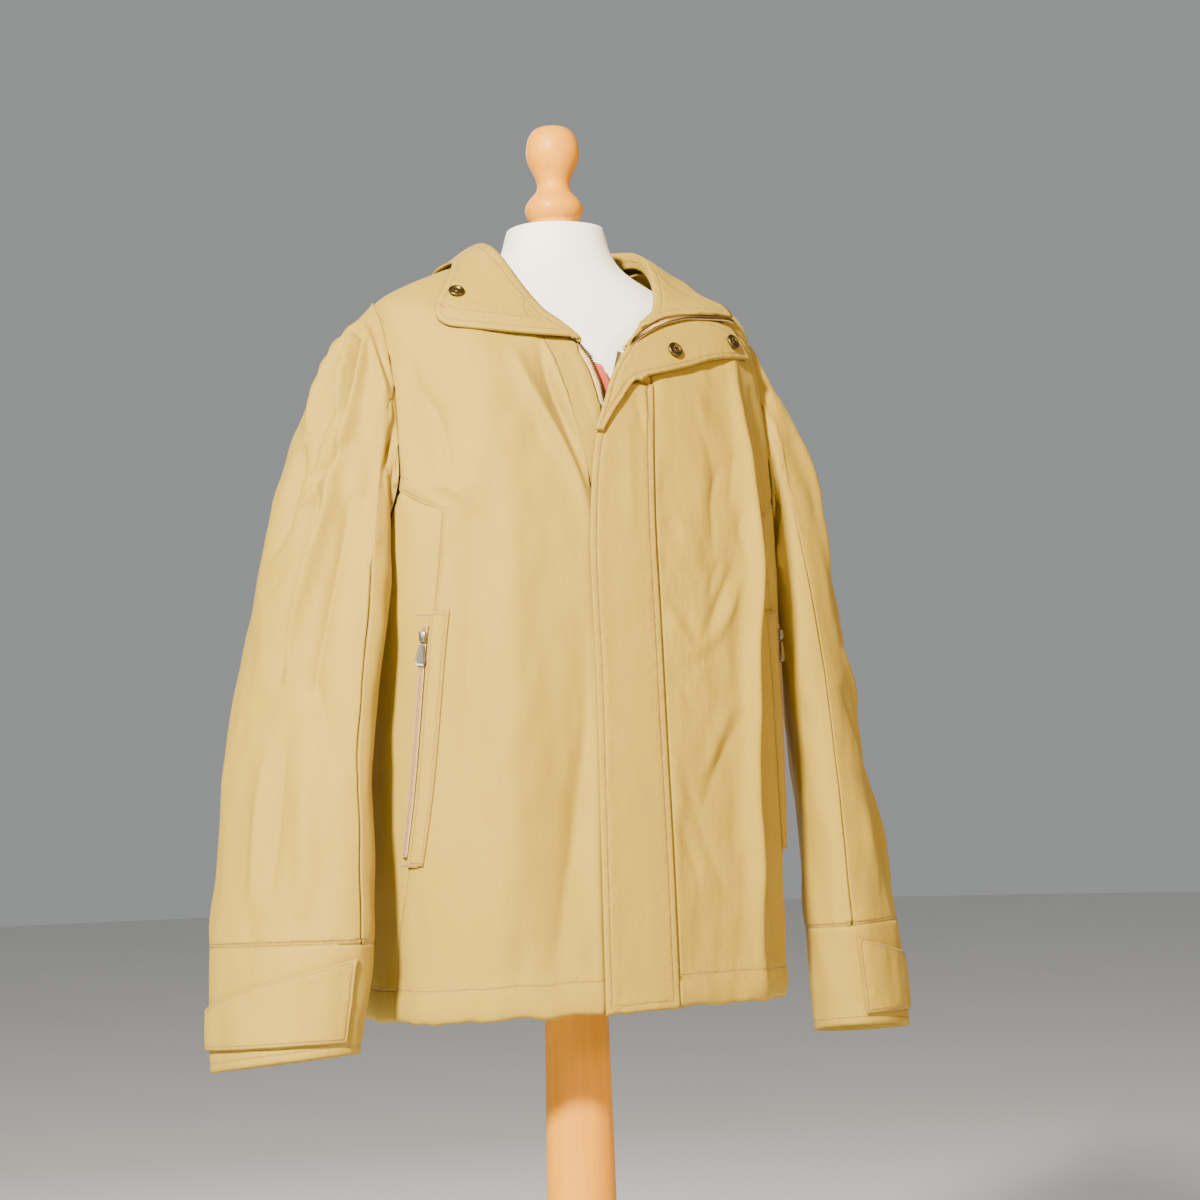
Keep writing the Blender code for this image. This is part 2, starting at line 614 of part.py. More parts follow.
def sleeve_point(side, angle, place, lift=0.0):
    """A point of a sleeve: angle round it (0 outside, 90 front) and place along it."""
    x, y, z, long_half, short_half, twist, pitch, tilt = read_table(SLEEVE, place)
    turn, rise = math.radians(twist), math.radians(pitch)
    tip = math.radians(tilt)
    forward = Vector((-math.sin(turn), -math.cos(turn), 0.0))
    outward = Vector((math.cos(turn), -math.sin(turn), 0.0))
    long_way = forward * math.cos(tip) + Vector((0, 0, math.sin(tip)))
    short_way = outward * math.sin(rise) + Vector((0, 0, math.cos(rise)))
    bend = math.radians(angle)
    fold = 0.0
    for centre, width, middle, reach, height, slant in SLEEVE_FOLDS:
        away = (angle - centre - slant * (place - middle) + 180.0) % 360.0 - 180.0
        fold += height * math.exp(-(away / width) ** 2 - ((place - middle) / reach) ** 2)
    grow = fold * min(1.0, place / 0.05) + lift
    point = (Vector((x, y, z)) + long_way * (math.sin(bend) * (long_half + grow))
             + short_way * (math.cos(bend) * (short_half + grow)))
    blend = max(0.0, 1.0 - place / 0.12)
    if blend > 0:
        turn_at, level_at = armhole_place(angle)
        clear = ARMHOLE_CLEARANCE * (1.0 + 0.6 * max(0.0, -math.cos(bend)))
        joint = smooth_body(turn_at, level_at) + Vector((clear, 0.0, 0.0))
        centre_way = (joint - Vector((x, y, z))).normalized()
        ellipse_start = read_table(SLEEVE, 0.0)
        start = Vector(ellipse_start[:3])
        start += Vector((0, -math.sin(bend) * ellipse_start[3], math.cos(bend) * ellipse_start[4]))
        point = point + (joint - start + centre_way * lift) * blend * blend
    point = point + Vector(SLEEVE_SHIFT[side]) * min(1.0, place / 0.5)
    nearest = ARM_CLEARANCE * (0.8 + 0.2 * min(1.0, place / 0.03)) + lift
    point.x = max(point.x, body_side(point) + nearest)
    point.x *= SIDES[side]
    return point


def sleeve_rows(last):
    """Places of a sleeve's rows, closer together at the top."""
    near_top = [0.0, 0.025, 0.06, 0.10, 0.145, 0.19, 0.24, 0.29, 0.34, 0.40]
    count = 8
    return near_top + [0.40 + (last - 0.40) * (j + 1) / count for j in range(count)]


def make_sleeve(side):
    """Top and under sleeve, cuff, and the cuff's tab."""
    places = sleeve_rows(CUFF_SEAM)
    spans = {"sleeve_top_": (HIND_SEAM - 360.0, FRONT_SEAM, 12),
             "sleeve_under_": (FRONT_SEAM, HIND_SEAM, 12)}
    for name, (first, final, columns) in spans.items():
        grid = [[sleeve_point(side, first + (final - first) * i / columns, place)
                 for i in range(columns + 1)] for place in places]
        grid = open_seams(grid, "lr", 5 * SEAM_GAP)
        add_sheet(name + side, [open_seams(grid, "t")])

    columns = 24
    cuff = []
    for place in CUFF_ROWS:
        cuff.append([sleeve_point(side, FRONT_SEAM + 360.0 * i / columns, place)
                     for i in range(columns)])
    add_sheet("cuff_" + side, [cuff], ring=True)

    tab = []
    columns = 10
    for j in range(3):
        row = []
        for i in range(columns + 1):
            (angle, low, high), end = CUFF_TAB
            part = i / columns
            angle += (end[0] - angle) * part
            low += (end[1] - low) * part
            high += (end[2] - high) * part
            row.append(sleeve_point(side, angle, low + (high - low) * j / 2, CUFF_TAB_LIFT))
        tab.append(row)
    add_sheet("cuff_tab_" + side, [tab], thickness=TRIM)


# ------------------------------------------------------------------- collar and flap

def collar_point(along_collar, across):
    """A point of the collar: place from right to left, and 0 at the base to 1 at the edge."""
    table = [(i / (len(COLLAR) - 1), *row) for i, row in enumerate(COLLAR)]
    turn, level, roll, edge_turn, edge_level, edge_lift = read_table(table, along_collar)
    if across < COLLAR_STAND:
        part = across / COLLAR_STAND
        return body_point(turn, level - COLLAR_DROP * (1 - part),
                          COLLAR_FOOT + (roll - COLLAR_FOOT) * part)
    part = (across - COLLAR_STAND) / (1 - COLLAR_STAND)
    last_rows = max(0.0, (along_collar - COLLAR_BOW_START) / (1 - COLLAR_BOW_START))
    bow = COLLAR_BOW * math.sin(math.pi * part ** 0.85) * last_rows
    ease = part * part * (3 - 2 * part)
    return body_point(turn + (edge_turn - turn) * part,
                      min(level + (edge_level - level) * part + bow, BODY[-1][0]),
                      roll + (edge_lift - roll) * ease)


def make_collar():
    """The stand-up collar, turned outwards all round its roll."""
    rows, columns = 38, 8
    grid = [[collar_point(j / rows, i / columns) for i in range(columns + 1)]
            for j in range(rows + 1)]
    add_sheet("collar", [grid])


def make_flap():
    """The storm flap over the zip, and its top turned outwards with the collar."""
    rows = [row[0] for row in FLAP]
    levels = [rows[0] + (rows[-1] - rows[0]) * j / 20 for j in range(21)]
    grid = []
    for level in levels:
        free, seam = read_table(FLAP, level)
        grid.append([body_point(free + (seam - free) * i / 4, level, FLAP_LIFT)
                     for i in range(5)])
    add_sheet("storm_flap", [grid], thickness=TRIM)

    table = [(i, *row) for i, row in enumerate(FLAP_TURN)]
    grid = []
    count = 18
    for j in range(count + 1):
        place = (len(FLAP_TURN) - 1) * j / count
        turn, level, lift, edge_turn, edge_level, edge_lift = read_table(table, place)
        grid.append([body_point(turn + (edge_turn - turn) * i / 3,
                                level + (edge_level - level) * i / 3,
                                lift + (edge_lift - lift) * i / 3) for i in range(4)])
    add_sheet("storm_flap_top", [grid], thickness=TRIM)


# ------------------------------------------------------------------ zips and pockets

def make_main_zip():
    """Both halves of the front zip, its slider and the lining strip beside its right half."""
    rows = 22
    for side, sign in SIDES.items():
        grid = []
        for turn, level in along(ZIP_EDGE[side], rows):
            near = body_point(sign * turn, level, -0.0004) - Vector((sign * ZIP_GAP, 0.0, 0.0))
            edge = near - Vector((sign * ZIP_STRIP, 0.0, 0.0))
            if sign * edge.x < ZIP_MEETING:
                edge.x = sign * ZIP_MEETING
                near.x = sign * max(abs(near.x), 3 * ZIP_MEETING)
            grid.append([near, edge])
        add_sheet("zip_" + side, [grid], thickness=0.0020, finish="antique_brass")

    grid = []
    for level in PLACKET_LEVELS:
        turn = read_table([(p[1], p[0]) for p in ZIP_EDGE["right"]], level)[0]
        near, far = (body_point(-turn, level, lift) + Vector((across, 0.0, 0.0))
                     for across, lift in (PLACKET_NEAR, PLACKET_FAR))
        grid.append([near, (near + far) / 2, far])
    add_sheet("placket_lining", [grid], thickness=0.0012, finish="coral_lining")

    level = MAIN_SLIDER_LEVEL
    outward = body_normal(0.0, level)
    upward = smooth_body(0.0, level + 0.01) - smooth_body(0.0, level)
    place = frame_at(smooth_body(0.0, level) + outward * MAIN_SLIDER_LIFT, outward, upward)
    add_block("main_slider", MAIN_SLIDER_SIZE, place, "antique_brass", 0.0004)


def pocket_line(side, level, across=0.0, lift=0.0):
    """A point of the pocket's slanted line, moved across it towards the centre front."""
    turn = read_table([(p[1], p[0]) for p in SIDE_SEAM], level)[0] * SIDES[side]
    step = 0.5 * SIDES[side]
    toward = (smooth_body(turn - step, level) - smooth_body(turn, level)).normalized()
    return body_point(turn, level, lift) + toward * across


def make_pocket(side):
    """A slanted side pocket: its welt, coil zip, slider and pull tab."""
    rows = 8
    levels = [POCKET_FOOT + (POCKET_TOP - POCKET_FOOT) * j / rows for j in range(rows + 1)]
    welt = []
    coil = []
    for level in levels:
        welt.append([pocket_line(side, level, across, POCKET_WELT_LIFT) for across in POCKET_WELT])
    foot, top = POCKET_FOOT + POCKET_COIL_ENDS[0], POCKET_TOP - POCKET_COIL_ENDS[1]
    for j in range(rows + 1):
        level = foot + (top - foot) * j / rows
        coil.append([pocket_line(side, level, across, POCKET_COIL_LIFT) for across in POCKET_COIL])
    add_sheet("pocket_welt_" + side, [welt], thickness=TRIM)
    add_sheet("pocket_zip_" + side, [coil], thickness=0.0014, finish="coil_zip")

    level = POCKET_TOP - SLIDER_DROP
    turn = read_table([(p[1], p[0]) for p in SIDE_SEAM], level)[0] * SIDES[side]
    outward = body_normal(turn, level)
    upward = pocket_line(side, level + 0.01) - pocket_line(side, level - 0.01)
    centre = pocket_line(side, level, *SLIDER_PLACE)
    place = frame_at(centre, outward, upward)
    add_block("pocket_slider_" + side, SLIDER_SIZE, place, "puller_metal")

    hinge = place @ Matrix.Translation((0.0, -SLIDER_SIZE[1] / 2 - HINGE_PLACE[0], HINGE_PLACE[1]))
    pivot = bpy.data.objects.new("pull_pivot_" + side, None)
    pivot.matrix_world = hinge
    bpy.data.collections["windbreaker"].objects.link(pivot)
    shape = bmesh.new()
    corners = [shape.verts.new((x * PULL_TAB_WIDTH, y * PULL_TAB_LENGTH, -PULL_TAB_WALL / 2))
               for x, y in PULL_TAB]
    plate = shape.faces.new(corners)
    plate.normal_update()
    if plate.normal.z > 0:
        plate.normal_flip()
    raised = bmesh.ops.extrude_face_region(shape, geom=[plate])
    moved = [item for item in raised["geom"] if isinstance(item, bmesh.types.BMVert)]
    bmesh.ops.translate(shape, vec=(0.0, 0.0, PULL_TAB_WALL), verts=moved)
    bmesh.ops.recalc_face_normals(shape, faces=shape.faces)
    tab = add_object("pull_tab_" + side, shape, "puller_metal", smooth=False)
    tab.parent = pivot


def make_snaps():
    """Press-stud halves on the turned-out collar and flap."""
    for name, (turn, level, lift) in SNAPS.items():
        outward = body_normal(turn, level)
        place = frame_at(body_point(turn, level, lift), outward, Vector((0, 0, 1)))
        shape = bmesh.new()
        bmesh.ops.create_cone(shape, cap_ends=True, segments=16, radius1=SNAP_RADIUS,
                              radius2=SNAP_RADIUS * 0.86, depth=SNAP_HEIGHT)
        bmesh.ops.transform(shape, matrix=place, verts=shape.verts)
        add_object(name, shape, "antique_brass")


# -------------------------------------------------------------------------- assembly

def main():
    """Clears the scene and builds every piece."""
    for old in list(bpy.data.objects):
        bpy.data.objects.remove(old)
    bpy.context.scene.collection.children.link(bpy.data.collections.new("windbreaker"))
    make_stand()
    back_panel()
    for side in SIDES:
        front_panel(side)
        side_panel(side)
        front_band(side)
        make_sleeve(side)
        make_pocket(side)
    make_collar()
    make_flap()
    make_main_zip()
    make_snaps()
    bpy.context.view_layer.update()


main()
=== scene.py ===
import functools
import math

import bmesh
import bpy
import numpy as np
from bpy.props import FloatProperty, PointerProperty
from mathutils import Matrix, Vector, kdtree, noise
from mathutils.bvhtree import BVHTree


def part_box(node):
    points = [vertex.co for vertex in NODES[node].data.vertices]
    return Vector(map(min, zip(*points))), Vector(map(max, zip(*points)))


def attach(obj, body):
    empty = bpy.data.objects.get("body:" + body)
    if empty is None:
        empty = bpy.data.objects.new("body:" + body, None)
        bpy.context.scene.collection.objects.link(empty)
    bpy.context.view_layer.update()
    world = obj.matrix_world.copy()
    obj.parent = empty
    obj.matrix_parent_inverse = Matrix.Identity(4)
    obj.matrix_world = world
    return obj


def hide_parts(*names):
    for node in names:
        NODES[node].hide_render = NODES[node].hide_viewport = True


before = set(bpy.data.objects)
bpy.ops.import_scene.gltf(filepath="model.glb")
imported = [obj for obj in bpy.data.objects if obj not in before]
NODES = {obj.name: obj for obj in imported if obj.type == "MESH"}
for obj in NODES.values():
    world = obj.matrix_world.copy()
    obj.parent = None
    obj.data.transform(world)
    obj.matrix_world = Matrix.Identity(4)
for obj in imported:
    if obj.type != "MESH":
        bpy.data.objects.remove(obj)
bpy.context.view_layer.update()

bl_info = {
    "name": "Windbreaker on a dress form",
    "version": (1, 0, 0),
    "blender": (4, 5, 0),
    "location": "View3D > Sidebar > Windbreaker",
    "description": "Dresses the packed model in its cloth, stitches, zips, snaps and wood",
    "category": "Object",
}

SIDES = {"right": -1.0, "left": 1.0}
MM = 0.001

# ------------------------------------------------------------- places round the cloth
# A place on the cloth is an azimuth in degrees, 0 at the front (-Y) and positive towards
# the wearer's left (+X), and a height in metres. It is counted round the centre line of
# the body or of a sleeve, and goes on past 180 where a crease crosses the back.

BODY_RADIUS = 0.17
SLEEVE_RADIUS = 0.062
# height, and x and y of the left sleeve's centre line
SLEEVE_LINE = (
    (0.755, 0.313, -0.04),
    (0.863, 0.305, -0.035),
    (1.04, 0.288, -0.024),
    (1.165, 0.2645, -0.018),
    (1.3, 0.235, -0.003),
    (1.36, 0.206, 0),
)

# creases of the body: height and width in mm (a trough's height is negative), then places
BODY_CREASES = (
    # under the right collar wing, down to the zip
    (-8, 12, (-33, 1.435), (-30, 1.405), (-25, 1.37), (-19, 1.335), (-14, 1.295), (-10, 1.25)),
    (6, 8, (-42, 1.425), (-36, 1.39), (-29, 1.355), (-22, 1.318), (-16, 1.275), (-12, 1.23)),
    (-3, 6, (-24, 1.42), (-20, 1.39), (-16, 1.355), (-12, 1.32)),
    # beside the right armhole
    (-4, 16, (-70, 1.42), (-66, 1.36), (-64, 1.29)),
    (-2.5, 7, (-68, 1.395), (-60, 1.35), (-56, 1.29)),
    (2, 7, (-62, 1.3), (-54, 1.282), (-50, 1.262)),
    # soft hanging folds of the right front
    (-3.5, 22, (-50, 1.29), (-52, 1.175), (-54, 1.06), (-50, 0.96)),
    (4, 24, (-40, 1.26), (-41, 1.14), (-43, 1), (-42, 0.86)),
    (-5, 20, (-14, 1.16), (-18, 1.06), (-23, 0.97), (-29, 0.88), (-31, 0.8)),
    (3, 16, (-9, 1.1), (-10, 1), (-13, 0.9), (-14, 0.81)),
    # sharp ridge of the left front, with the cloth turned to the side behind it
    (7.5, 7, (60, 1.44), (53, 1.39), (50, 1.314), (49, 1.221), (47, 1.155), (46, 1.104),
     (46, 0.986), (48, 0.866), (50, 0.8)),
    (-7.5, 11, (64, 1.4), (59, 1.32), (56, 1.22), (54, 1.12), (54, 0.98), (57, 0.83)),
    # short pulls on the left chest, sharp and close together
    (-1.3, 4.5, (41, 1.317), (36, 1.283), (35, 1.254), (35, 1.224)),
    (-2, 4.5, (42, 1.218), (36, 1.182), (31, 1.154), (27, 1.14)),
    (1.5, 5, (44, 1.205), (39, 1.17), (33, 1.144)),
    (-1.2, 4.5, (48, 1.278), (45, 1.251), (46, 1.226)),
    (-1.1, 4.5, (14, 1.256), (18, 1.252), (22, 1.244)),
    (-1.3, 4.5, (13, 1.196), (15, 1.187), (23, 1.162), (27, 1.14)),
    (1.1, 5, (14, 1.17), (21, 1.146), (25, 1.128)),
    (-1.2, 4.5, (31, 1.18), (34, 1.203), (37, 1.222)),
    (-1.2, 4.5, (22, 1.115), (29, 1.125), (36, 1.14)),
    (-1.1, 4.5, (20, 1.215), (26, 1.206), (30, 1.19)),
    (-1, 4.5, (12, 1.226), (17, 1.216), (21, 1.201)),
    (-1, 4.5, (14, 1.118), (20, 1.098), (25, 1.076)),
    (-1.2, 5, (46, 1.33), (44, 1.3), (42, 1.272)),
    # long diagonals of the left front
    (-1.6, 7, (44, 1.078), (38, 1.044), (32, 1.013), (27, 0.975)),
    (1.3, 8, (41, 1.09), (34, 1.05), (28, 1.01)),
    (-1.3, 8, (18, 1.03), (24, 0.985), (32, 0.93), (40, 0.88)),
    (-1.2, 7, (16, 0.978), (22, 0.945), (27, 0.905)),
    (-1.4, 12, (33, 1.375), (37, 1.315), (39, 1.25)),
    # back and sides, which the photo hides
    (-5, 18, (140, 1.34), (146, 1.22), (149, 1.08), (146, 0.93)),
    (4.5, 17, (156, 1.3), (161, 1.15), (163, 1), (161, 0.85)),
    (-4.5, 20, (-142, 1.33), (-150, 1.2), (-153, 1.06), (-150, 0.9)),
    (4.5, 17, (-164, 1.25), (-167, 1.11), (-166, 0.98), (-169, 0.83)),
    (-3.5, 12, (122, 1.385), (134, 1.365), (148, 1.352)),
    (-3.5, 12, (-120, 1.39), (-133, 1.372), (-149, 1.362)),
    (-3, 9, (116, 1.32), (127, 1.29), (134, 1.24)),
    (-3, 9, (-115, 1.318), (-125, 1.282), (-131, 1.23)),
    (2.6, 14, (172, 1.42), (180, 1.405), (190, 1.415)),
    (-3.5, 16, (88, 1.18), (92, 1.08), (95, 0.96)),
    (-3.5, 16, (-90, 1.17), (-94, 1.06), (-96, 0.95)),
    (3.2, 14, (104, 1.12), (107, 1), (105, 0.87)),
    (3.2, 14, (-105, 1.15), (-108, 1.01), (-107, 0.88)),
)

# creases of the right sleeve
RIGHT_SLEEVE_CREASES = (
    # pinch under the shoulder point: a hollow between two ridges
    (-11.6, 5.4, (-18, 1.456), (-29, 1.446), (-33, 1.417), (-37, 1.384), (-42, 1.35)),
    (8, 5, (-12, 1.452), (-22, 1.428), (-28, 1.395), (-33, 1.365), (-32, 1.33)),
    (5.8, 5, (-52, 1.452), (-50, 1.425), (-50, 1.395), (-48, 1.365)),
    (-6.5, 5, (-55, 1.425), (-60, 1.395), (-64, 1.351), (-62, 1.305)),
    (5.8, 6.3, (-73, 1.462), (-85, 1.441), (-89, 1.394), (-82, 1.35)),
    (-5.1, 4.5, (-14, 1.458), (-40, 1.452), (-70, 1.453)),
    (4.3, 5, (-14, 1.444), (-7, 1.412), (-2, 1.383), (2, 1.345)),
    (-6.5, 5.4, (-6, 1.44), (1, 1.405), (6, 1.37), (10, 1.32), (10, 1.28)),
    # from the front of the arm to its outside
    (-4.3, 5, (-57, 1.298), (-41, 1.312), (-31, 1.325), (-22, 1.333)),
    (3.6, 5.4, (-60, 1.28), (-48, 1.292), (-36, 1.303)),
    (7.2, 7.2, (-33, 1.372), (-30, 1.32), (-27, 1.278), (-34, 1.238), (-40, 1.198), (-50, 1.158),
     (-56, 1.11)),
    (-6.5, 8.1, (-47, 1.33), (-46, 1.285), (-52, 1.24), (-60, 1.195), (-68, 1.15), (-72, 1.1)),
    (-7.2, 8.1, (-84, 1.34), (-80, 1.3), (-88, 1.262), (-100, 1.23)),
    (-5.8, 10.8, (-10, 1.29), (-11, 1.23), (-14, 1.16), (-18, 1.09)),
    (-3.2, 5.4, (-106, 1.195), (-84, 1.211), (-60, 1.23)),
    (-4.3, 12.6, (-30, 1.13), (-4, 1.085), (12, 1.02)),
    # soft lengths above the cuff
    (-3.8, 13.5, (-43, 1.06), (-46, 0.98), (-48, 0.905)),
    (3.5, 12.6, (-70, 1.06), (-72, 0.98), (-70, 0.9)),
    (2.9, 10.8, (-16, 1.04), (-12, 0.96), (-10, 0.895)),
    # the back of the arm, which the photo hides
    (-7.2, 8.1, (-145, 1.29), (-162, 1.262), (-182, 1.246)),
    (5.8, 8.1, (-147, 1.24), (-164, 1.212), (-185, 1.2)),
    (-5.8, 9, (-148, 1.17), (-165, 1.15), (-188, 1.142)),
    (-7.2, 8.1, (-150, 1.11), (-172, 1.092), (-194, 1.09)),
    (4.3, 9, (-148, 1.05), (-165, 1.03), (-182, 1.026)),
    (-4.3, 10.8, (-160, 1), (-166, 0.94), (-163, 0.89)),
    (-2.9, 8.1, (150, 1.18), (120, 1.16), (90, 1.15)),
    (-2.9, 8.1, (60, 1.11), (90, 1.085), (118, 1.075)),
)

# creases of the left sleeve
LEFT_SLEEVE_CREASES = (
    (-6, 8, (18, 1.45), (32, 1.43), (44, 1.4), (48, 1.36)),
    (-4, 7, (8, 1.44), (2, 1.4), (0, 1.35)),
    (5, 10, (26, 1.4), (30, 1.34), (27, 1.27), (22, 1.2)),
    (-5, 9, (40, 1.32), (34, 1.27), (30, 1.215), (18, 1.17)),
    (-2.5, 8, (40, 1.34), (58, 1.31), (76, 1.28)),
    (-3, 8, (8, 1.18), (26, 1.15), (48, 1.125), (60, 1.105)),
    (2.4, 8, (6, 1.14), (24, 1.11), (44, 1.085), (56, 1.07)),
    (-4, 9, (-12, 1.1), (6, 1.06), (30, 1.03)),
    (-3, 12, (20, 1.03), (26, 0.96), (24, 0.9)),
    (2.6, 12, (-8, 1), (-4, 0.94), (-2, 0.89)),
    (3, 14, (62, 1.02), (66, 0.95), (64, 0.89)),
    (-5, 9, (136, 1.3), (152, 1.27), (172, 1.25)),
    (4, 9, (138, 1.25), (154, 1.22), (174, 1.204)),
    (-4, 10, (140, 1.18), (160, 1.158), (186, 1.15)),
    (-5, 9, (150, 1.11), (174, 1.096), (194, 1.09)),
    (-3, 12, (160, 1), (166, 0.94), (163, 0.89)),
    (-2, 9, (-150, 1.18), (-120, 1.16), (-90, 1.15)),
    (-2, 9, (-60, 1.11), (-90, 1.085), (-118, 1.075)),
)

# creases of the collar and of the flap's turned-out top, counted round the body
COLLAR_CREASES = (
    (-2.2, 9, (-20, 1.47), (-28, 1.462), (-38, 1.458)),
    (1.8, 9, (-30, 1.49), (-42, 1.48), (-50, 1.47)),
    (-2, 10, (-62, 1.53), (-64, 1.505), (-66, 1.49)),
    (-2.4, 10, (-96, 1.535), (-99, 1.51), (-102, 1.5)),
    (2, 12, (-128, 1.53), (-132, 1.505)),
    (-2.2, 12, (-158, 1.53), (-163, 1.5), (-160, 1.48)),
    (-2.2, 12, (152, 1.53), (157, 1.5), (155, 1.48)),
    (-2.2, 9, (62, 1.525), (60, 1.505), (58, 1.49)),
    (1.8, 9, (30, 1.49), (42, 1.495), (50, 1.5)),
)

# creases at the top of the storm flap, where it turns out
FLAP_CREASES = (
    (-2.2, 5, (13.5, 1.392), (14, 1.378), (14.2, 1.35)),
    (1.6, 5, (10.5, 1.392), (11.5, 1.375), (12, 1.345)),
    (-1.6, 5, (7, 1.38), (8, 1.36), (9, 1.33)),
    (1.2, 7, (2, 1.36), (1, 1.3), (0, 1.24)),
)


def unroll(points, line):
    """Azimuths in radians of points round a centre line, and their offsets from it."""
    if line is None:
        centre = np.zeros((len(points), 2))
    else:
        table = np.array(line)
        centre = np.column_stack([np.interp(points[:, 2], table[:, 0], table[:, i])
                                  for i in (1, 2)])
    away = points[:, :2] - centre
    return np.arctan2(away[:, 0], -away[:, 1]), away


def centre_line(tube):
    """The centre line of a tube of cloth; the body's is the upright through the origin."""
    if tube == "body":
        return None
    return [(height, SIDES[tube] * x, y) for height, x, y in SLEEVE_LINE]


def smooth_line(points, steps=6):
    """A Catmull-Rom line through points, with a number of steps between each two."""
    ends = np.vstack((2 * points[0] - points[1], points, 2 * points[-1] - points[-2]))
    line = []
    for before, first, second, after in zip(ends, ends[1:], ends[2:], ends[3:]):
        for i in range(steps):
            t = i / steps
            line.append(0.5 * (2 * first + (second - before) * t
                               + (2 * before - 5 * first + 4 * second - after) * t ** 2
                               + (3 * first - before - 3 * second + after) * t ** 3))
    line.append(points[-1])
    return np.array(line)


CREASE_REACH = 3.2    # in widths, how far from its line a crease is still felt
FADE = 0.7            # how soon a crease fades towards its two ends
TROUGH_EDGE = 1.15    # how steep a trough's side is, and then a ridge's
RIDGE_EDGE = 1.7


def nearest_on_line(places, line):
    """Distance of flat places from a line, and how far along the line, as a share, that is."""
    steps = np.diff(line, axis=0)
    lengths = np.linalg.norm(steps, axis=1)
    starts = np.concatenate(([0.0], np.cumsum(lengths)))
    best = np.full(len(places), np.inf)
    share = np.zeros(len(places))
    for start, step, length, along in zip(line, steps, lengths, starts):
        offset = places - start
        part = np.clip(offset @ step / length ** 2, 0.0, 1.0)
        away = np.linalg.norm(offset - part[:, None] * step, axis=1)
        closer = away < best
        best[closer] = away[closer]
        share[closer] = along + part[closer] * length
    return best, np.clip(share / starts[-1], 0.0, 1.0)


def crease_lift(azimuths, heights, creases, radius):
    """How far creases lift the cloth, or let it sink, at each place."""
    lift = np.zeros(len(azimuths))
    for rise, width, *places in creases:
        line = smooth_line(np.array(places, dtype=float))
        turns = np.unwrap(np.radians(line[:, 0]))
        middle = turns.mean()
        across = (azimuths - middle + np.pi) % (2 * np.pi) - np.pi
        cloth = np.column_stack((across * radius, heights))
        line = np.column_stack(((turns - middle) * radius, line[:, 1]))
        reach = CREASE_REACH * width * MM
        inside = (cloth > line.min(axis=0) - reach) & (cloth < line.max(axis=0) + reach)
        near = np.nonzero(inside.all(axis=1))[0]
        away, share = nearest_on_line(cloth[near], line)
        edge = TROUGH_EDGE if rise < 0 else RIDGE_EDGE
        fade = np.sin(np.pi * share) ** FADE
        lift[near] += rise * MM * fade * np.exp(-(away / (width * MM)) ** edge)
    return lift


def slow_wave(points, size, height):
    """Gentle unevenness of hanging cloth, longer up and down than across."""
    start = Vector((3.7, 1.3, 8.1))
    places = points / (size, size, 2.2 * size)
    return np.array([noise.fractal(Vector(place) + start, 0.6, 2.1, 3) for place in places]) * height


# --------------------------------------------------------------------------- materials

def to_linear(hex_colour):
    """Linear red, green, blue and alpha of an sRGB hex colour."""
    values = [int(hex_colour[i:i + 2], 16) / 255 for i in (1, 3, 5)]
    linear = [v / 12.92 if v <= 0.04045 else ((v + 0.055) / 1.055) ** 2.4 for v in values]
    return (*linear, 1.0)


def add_node(tree, kind, settings=None, links=None):
    """Adds a shader node, sets its properties or input values, and links its inputs."""
    node = tree.nodes.new(kind)
    for key, value in (settings or {}).items():
        if isinstance(key, int) or key in node.inputs:
            node.inputs[key].default_value = value
        else:
            setattr(node, key, value)
    for key, source in (links or {}).items():
        tree.links.new(source, node.inputs[key])
    return node


def new_material(name, **values):
    """An empty material with a Principled shader and its constant values."""
    material = bpy.data.materials.new(name)
    material.use_nodes = True
    shader = material.node_tree.nodes["Principled BSDF"]
    for key, value in values.items():
        shader.inputs[key.replace("_", " ")].default_value = value
    return material, material.node_tree, shader


def colour_between(tree, factor, low, high):
    """A colour that goes from one hex colour to another with a factor."""
    ramp = add_node(tree, "ShaderNodeValToRGB", links={"Fac": factor})
    ramp.color_ramp.elements[0].color = to_linear(low)
    ramp.color_ramp.elements[1].color = to_linear(high)
    return ramp.outputs["Color"]


def scaled_noise(tree, size, stretch=(1.0, 1.0, 1.0), detail=3.0, roughness=0.5):
    """Noise on object coordinates whose blobs are about size metres wide."""
    place = add_node(tree, "ShaderNodeTexCoord").outputs["Object"]
    mapped = add_node(tree, "ShaderNodeMapping", {"Scale": stretch}, {"Vector": place})
    return add_node(tree, "ShaderNodeTexNoise",
                    {"Scale": 1.0 / size, "Detail": detail, "Roughness": roughness},
                    {"Vector": mapped.outputs["Vector"]}).outputs["Fac"]


def calculate(tree, operation, first, second=None):
    """A Math node on sockets or numbers."""
    node = add_node(tree, "ShaderNodeMath", {"operation": operation})
    for index, value in enumerate((first, second)):
        if isinstance(value, (int, float)):
            node.inputs[index].default_value = value
        elif value is not None:
            tree.links.new(value, node.inputs[index])
    return node.outputs["Value"]


def near_line(tree, name, width):
    """One where a number stored on the mesh, in metres, is zero, and less away from there."""
    share = calculate(tree, "DIVIDE", attribute(tree, name), width)
    square = calculate(tree, "MULTIPLY", calculate(tree, "MULTIPLY", share, share), -1.0)
    return calculate(tree, "POWER", math.e, square)


def set_bump(tree, shader, *layers):
    """Adds layers up as the shader's bump; each is a value and its height in mm."""
    total = 0.0
    for value, height in layers:
        total = calculate(tree, "ADD", calculate(tree, "MULTIPLY", value, height * MM), total)
    bump = add_node(tree, "ShaderNodeBump", {"Strength": 1.0, "Distance": 1.0}, {"Height": total})
    tree.links.new(bump.outputs["Normal"], shader.inputs["Normal"])


